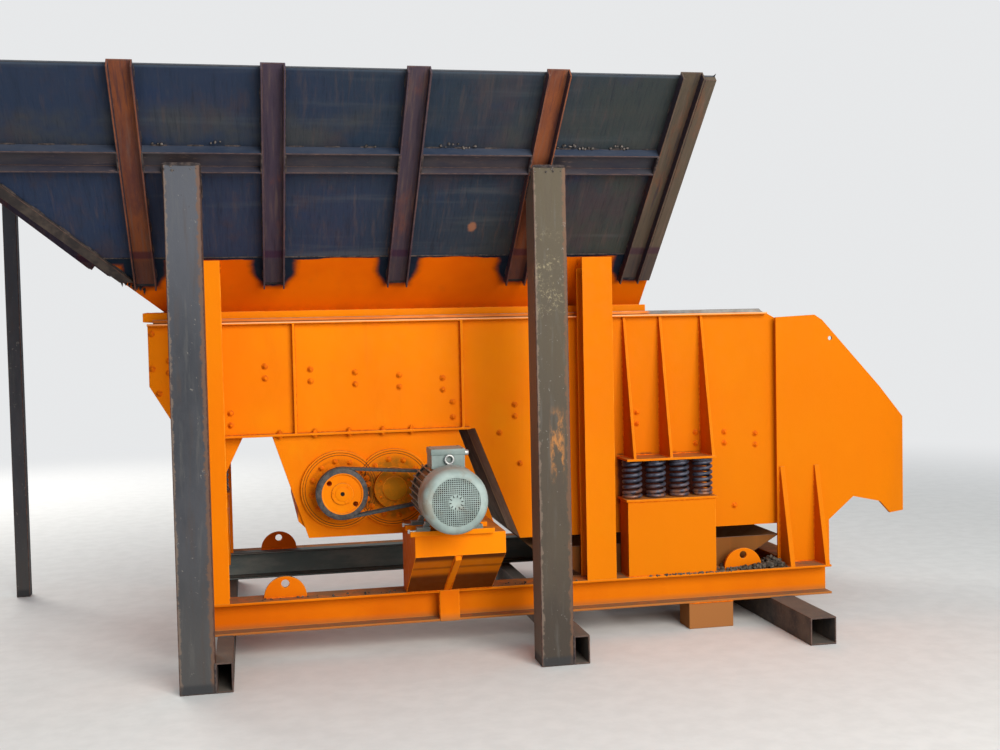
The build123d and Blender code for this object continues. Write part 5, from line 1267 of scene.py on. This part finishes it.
def add_hopper_welds():
    """Seams, stitched ribs and rails, post tops and skids, all in bare metal."""
    welds = Form()
    welds.bead(on_side(rear_edge(HOPPER_SEAM), HOPPER_SEAM), on_side(HOPPER_FRONT, HOPPER_SEAM), 0.0045)
    for x in RIB_X:
        for side in (x - RIB_HALF, x + RIB_HALF):
            welds.stitches(on_side(side, RIB_FOOT), on_side(side, HOPPER_TOP), 0.060, 0.170, 0.0055)
    for start, end in zip((rear_edge(RAIL_Z) + 0.130,) + RIB_X, RIB_X):
        for z in (RAIL_Z - RAIL_RISE, RAIL_Z + RAIL_RISE):
            welds.stitches(on_side(start + 0.056, z), on_side(end - 0.056, z), 0.070, 0.150)
        for x in (start + RIB_HALF, end - RIB_HALF):
            welds.bead(on_side(x, RAIL_Z - RAIL_RISE, 0.046), on_side(x, RAIL_Z + RAIL_RISE, 0.046))
    for x in POST_X:
        welds.seam(x - POST_HALF, x + POST_HALF, POST_Y, POST_TOP, 0.008)
        inner = (POST_Y + POST_WIDTH, POST_TOP - POST_WIDTH * math.tan(SIDE_ANGLE))
        welds.both_faces(x, POST_HALF, (POST_Y, POST_TOP), inner, radius=0.007)
        welds.bead(at(x + POST_HALF, POST_Y, 0.004), at(x + POST_HALF, POST_Y, SKID_TOP), 0.005)
        welds.seam(x + 0.082, x + 0.158, BASE_Y, SKID_TOP, 0.005)
    welds.seam(3.085, 3.225, BASE_Y, SKID_TOP, 0.005)
    corner = [on_side(rear_edge(z) + 0.070, z) for z in (1.925, HOPPER_TOP)]
    welds.stitches(*corner, 0.080, 0.170)
    welds.mirrored()
    half = half_width(HOPPER_SEAM) - 0.010
    welds.bead(on_rear(-half, HOPPER_SEAM), on_rear(half, HOPPER_SEAM), 0.0045)
    for y in (-0.420, 0.420):
        for side in (y - RIB_HALF, y + RIB_HALF):
            welds.stitches(on_rear(side, HOPPER_SEAM), on_rear(side, HOPPER_TOP), 0.060, 0.170)
    heights = (HOPPER_BOTTOM + 0.004, HOPPER_TOP - 0.010)
    for side in (-1.0, 1.0):
        inside = [(side * (half_width(z) - 0.0175), z) for z in heights]
        welds.bead(*(at(rear_edge(z) + 0.0185, y, z) for y, z in inside), 0.0085)
        welds.bead(*(at(HOPPER_FRONT - 0.0125, y, z) for y, z in inside), 0.0070)
    welds.piece("hopper_welds", "weld", "raw_steel", "base")


def add_torch_marks():
    """Drips and slag where ribs and corner were cut by torch, and lumps along the rails."""
    drips, lumps = Form(), Form()
    down = -SIDE_OUT.cross(ALONG)
    down = down if down.z < 0.0 else -down
    for x in RIB_X:
        for side in (-0.0485, 0.0485):
            foot = on_side(x + side, RIB_FOOT + 0.004, 0.010)
            drips.spike(foot, foot + down * SEED.uniform(0.022, 0.034), 0.0055)
        ragged = [on_side(x - 0.050 + 0.010 * k, RIB_FOOT) + down * SEED.uniform(0.001, 0.010)
                  for k in range(11)]
        upper = [on_side(x + side, RIB_FOOT + 0.006) for side in (0.050, -0.050)]
        drips.prism(ragged + upper, SIDE_OUT * 0.0085)
    for k in range(7):
        foot = on_side(0.017 * k - 0.250, 1.907 - 0.006 * k, 0.008)
        drips.spike(foot, foot + down * SEED.uniform(0.020, 0.045), 0.0075)
    drips.spike(on_side(HOPPER_FRONT - 0.008, HOPPER_TOP - 0.004, -0.004),
                on_side(HOPPER_FRONT, HOPPER_TOP + 0.010, -0.004), 0.0060)
    drips.mirrored().piece("torch_drips", "scale_edge", "raw_steel", "base")
    runs = ((1.24, 1.42, 9), (1.80, 1.99, 11), (2.06, 2.16, 6),
            (-0.06, 0.02, 3), (0.20, 0.26, 3), (0.90, 0.96, 2))
    for start, end, count in runs:
        for k in range(count):
            x = start + (end - start) * (k + SEED.uniform(0.1, 0.9)) / count
            out = SEED.uniform(0.003, 0.008)
            spot = on_side(x, RAIL_Z + RAIL_RISE + SEED.uniform(0.003, 0.018), out)
            lumps.stone(spot, SEED.uniform(0.005, 0.010))
    for x in POST_X:
        for k in range(9):
            spot = at(x + SEED.uniform(-0.078, 0.078), POST_Y - 0.001,
                      POST_TOP + SEED.uniform(-0.030, 0.003))
            lumps.stone(spot, SEED.uniform(0.003, 0.007))
    lumps.mirrored().piece("slag_lumps", "slag", "raw_steel", "base")


def add_gravel():
    """Stones and dirt on the near base beam, heaped by the discharge end."""
    gravel = Form()
    for k in range(330):
        x = 2.80 + 0.385 * SEED.random() ** 0.6
        y = SEED.uniform(-0.752, -0.622)
        size = SEED.uniform(0.005, 0.016)
        if abs(x - LUG_X[1]) < 0.115 and abs(y + 0.682) < 0.014 + size:
            continue
        heap = (0.050 * math.exp(-((x - 3.125) / 0.055) ** 2)
                + 0.020 * math.exp(-((x - 3.02) / 0.09) ** 2))
        rise = heap * SEED.random() * (1.0 - abs(y + 0.680) / 0.12)
        gravel.stone(at(x, y, BASE_TOP + size * 0.35 + max(rise, 0.0)), size)
    strips = ((70, (0.004, 0.009), (2.40, 2.86), (-0.7615, -0.7545), 0.2),
              (60, (0.003, 0.008), (0.25, 2.25), (-0.752, -0.700), 0.3))
    for count, sizes, span, depth, sunk in strips:
        for k in range(count):
            size = SEED.uniform(*sizes)
            gravel.stone(at(SEED.uniform(*span), SEED.uniform(*depth), BASE_TOP + size * sunk), size)
    gravel.piece("gravel", "stone", "old_orange_paint", "base")


def add_floor():
    """A pale floor that fades into the backdrop, seen by the camera as a little brighter."""
    mesh = bmesh.new()
    bmesh.ops.create_circle(mesh, cap_ends=True, radius=16.0, segments=96)
    floor = place_mesh("floor", mesh)
    floor.location.z = -0.0005
    finish = Finish("floor", roughness=0.9, specular=0.1)
    pale = finish.tones(finish.noise(9.0, 5.0), 0.3, 0.7, (0.75, 0.745, 0.73), (0.80, 0.795, 0.78))
    camera_ray = Field(finish, finish.add("ShaderNodeLightPath", {}).outputs["Is Camera Ray"])
    finish.lay(camera_ray, pale, (0.56, 0.555, 0.54))
    glow = finish.add("ShaderNodeEmission", {"Color": BACKDROP, "Strength": 1.0}).outputs[0]
    distance = finish.add("ShaderNodeVectorMath", {0: finish.place}, operation="LENGTH")
    fade = Field(finish, distance.outputs["Value"]).level(4.5, 11.0) * camera_ray
    mix = finish.add("ShaderNodeMixShader", {0: fade})
    finish.links.new(finish.shader.outputs[0], mix.inputs[1])
    finish.links.new(glow, mix.inputs[2])
    finish.links.new(mix.outputs[0], finish.nodes["Material Output"].inputs["Surface"])
    floor.data.materials.append(finish.material)


add_springs()
add_belts()
add_bearings()
add_fan_cover()
add_fan()
add_motor_fittings()
add_trough_bolts()
add_trough_welds()
add_base_welds()
add_hopper_welds()
add_torch_marks()
add_gravel()
set_camera()
set_light()
add_floor()
bpy.context.scene.view_settings.view_transform = "Standard"
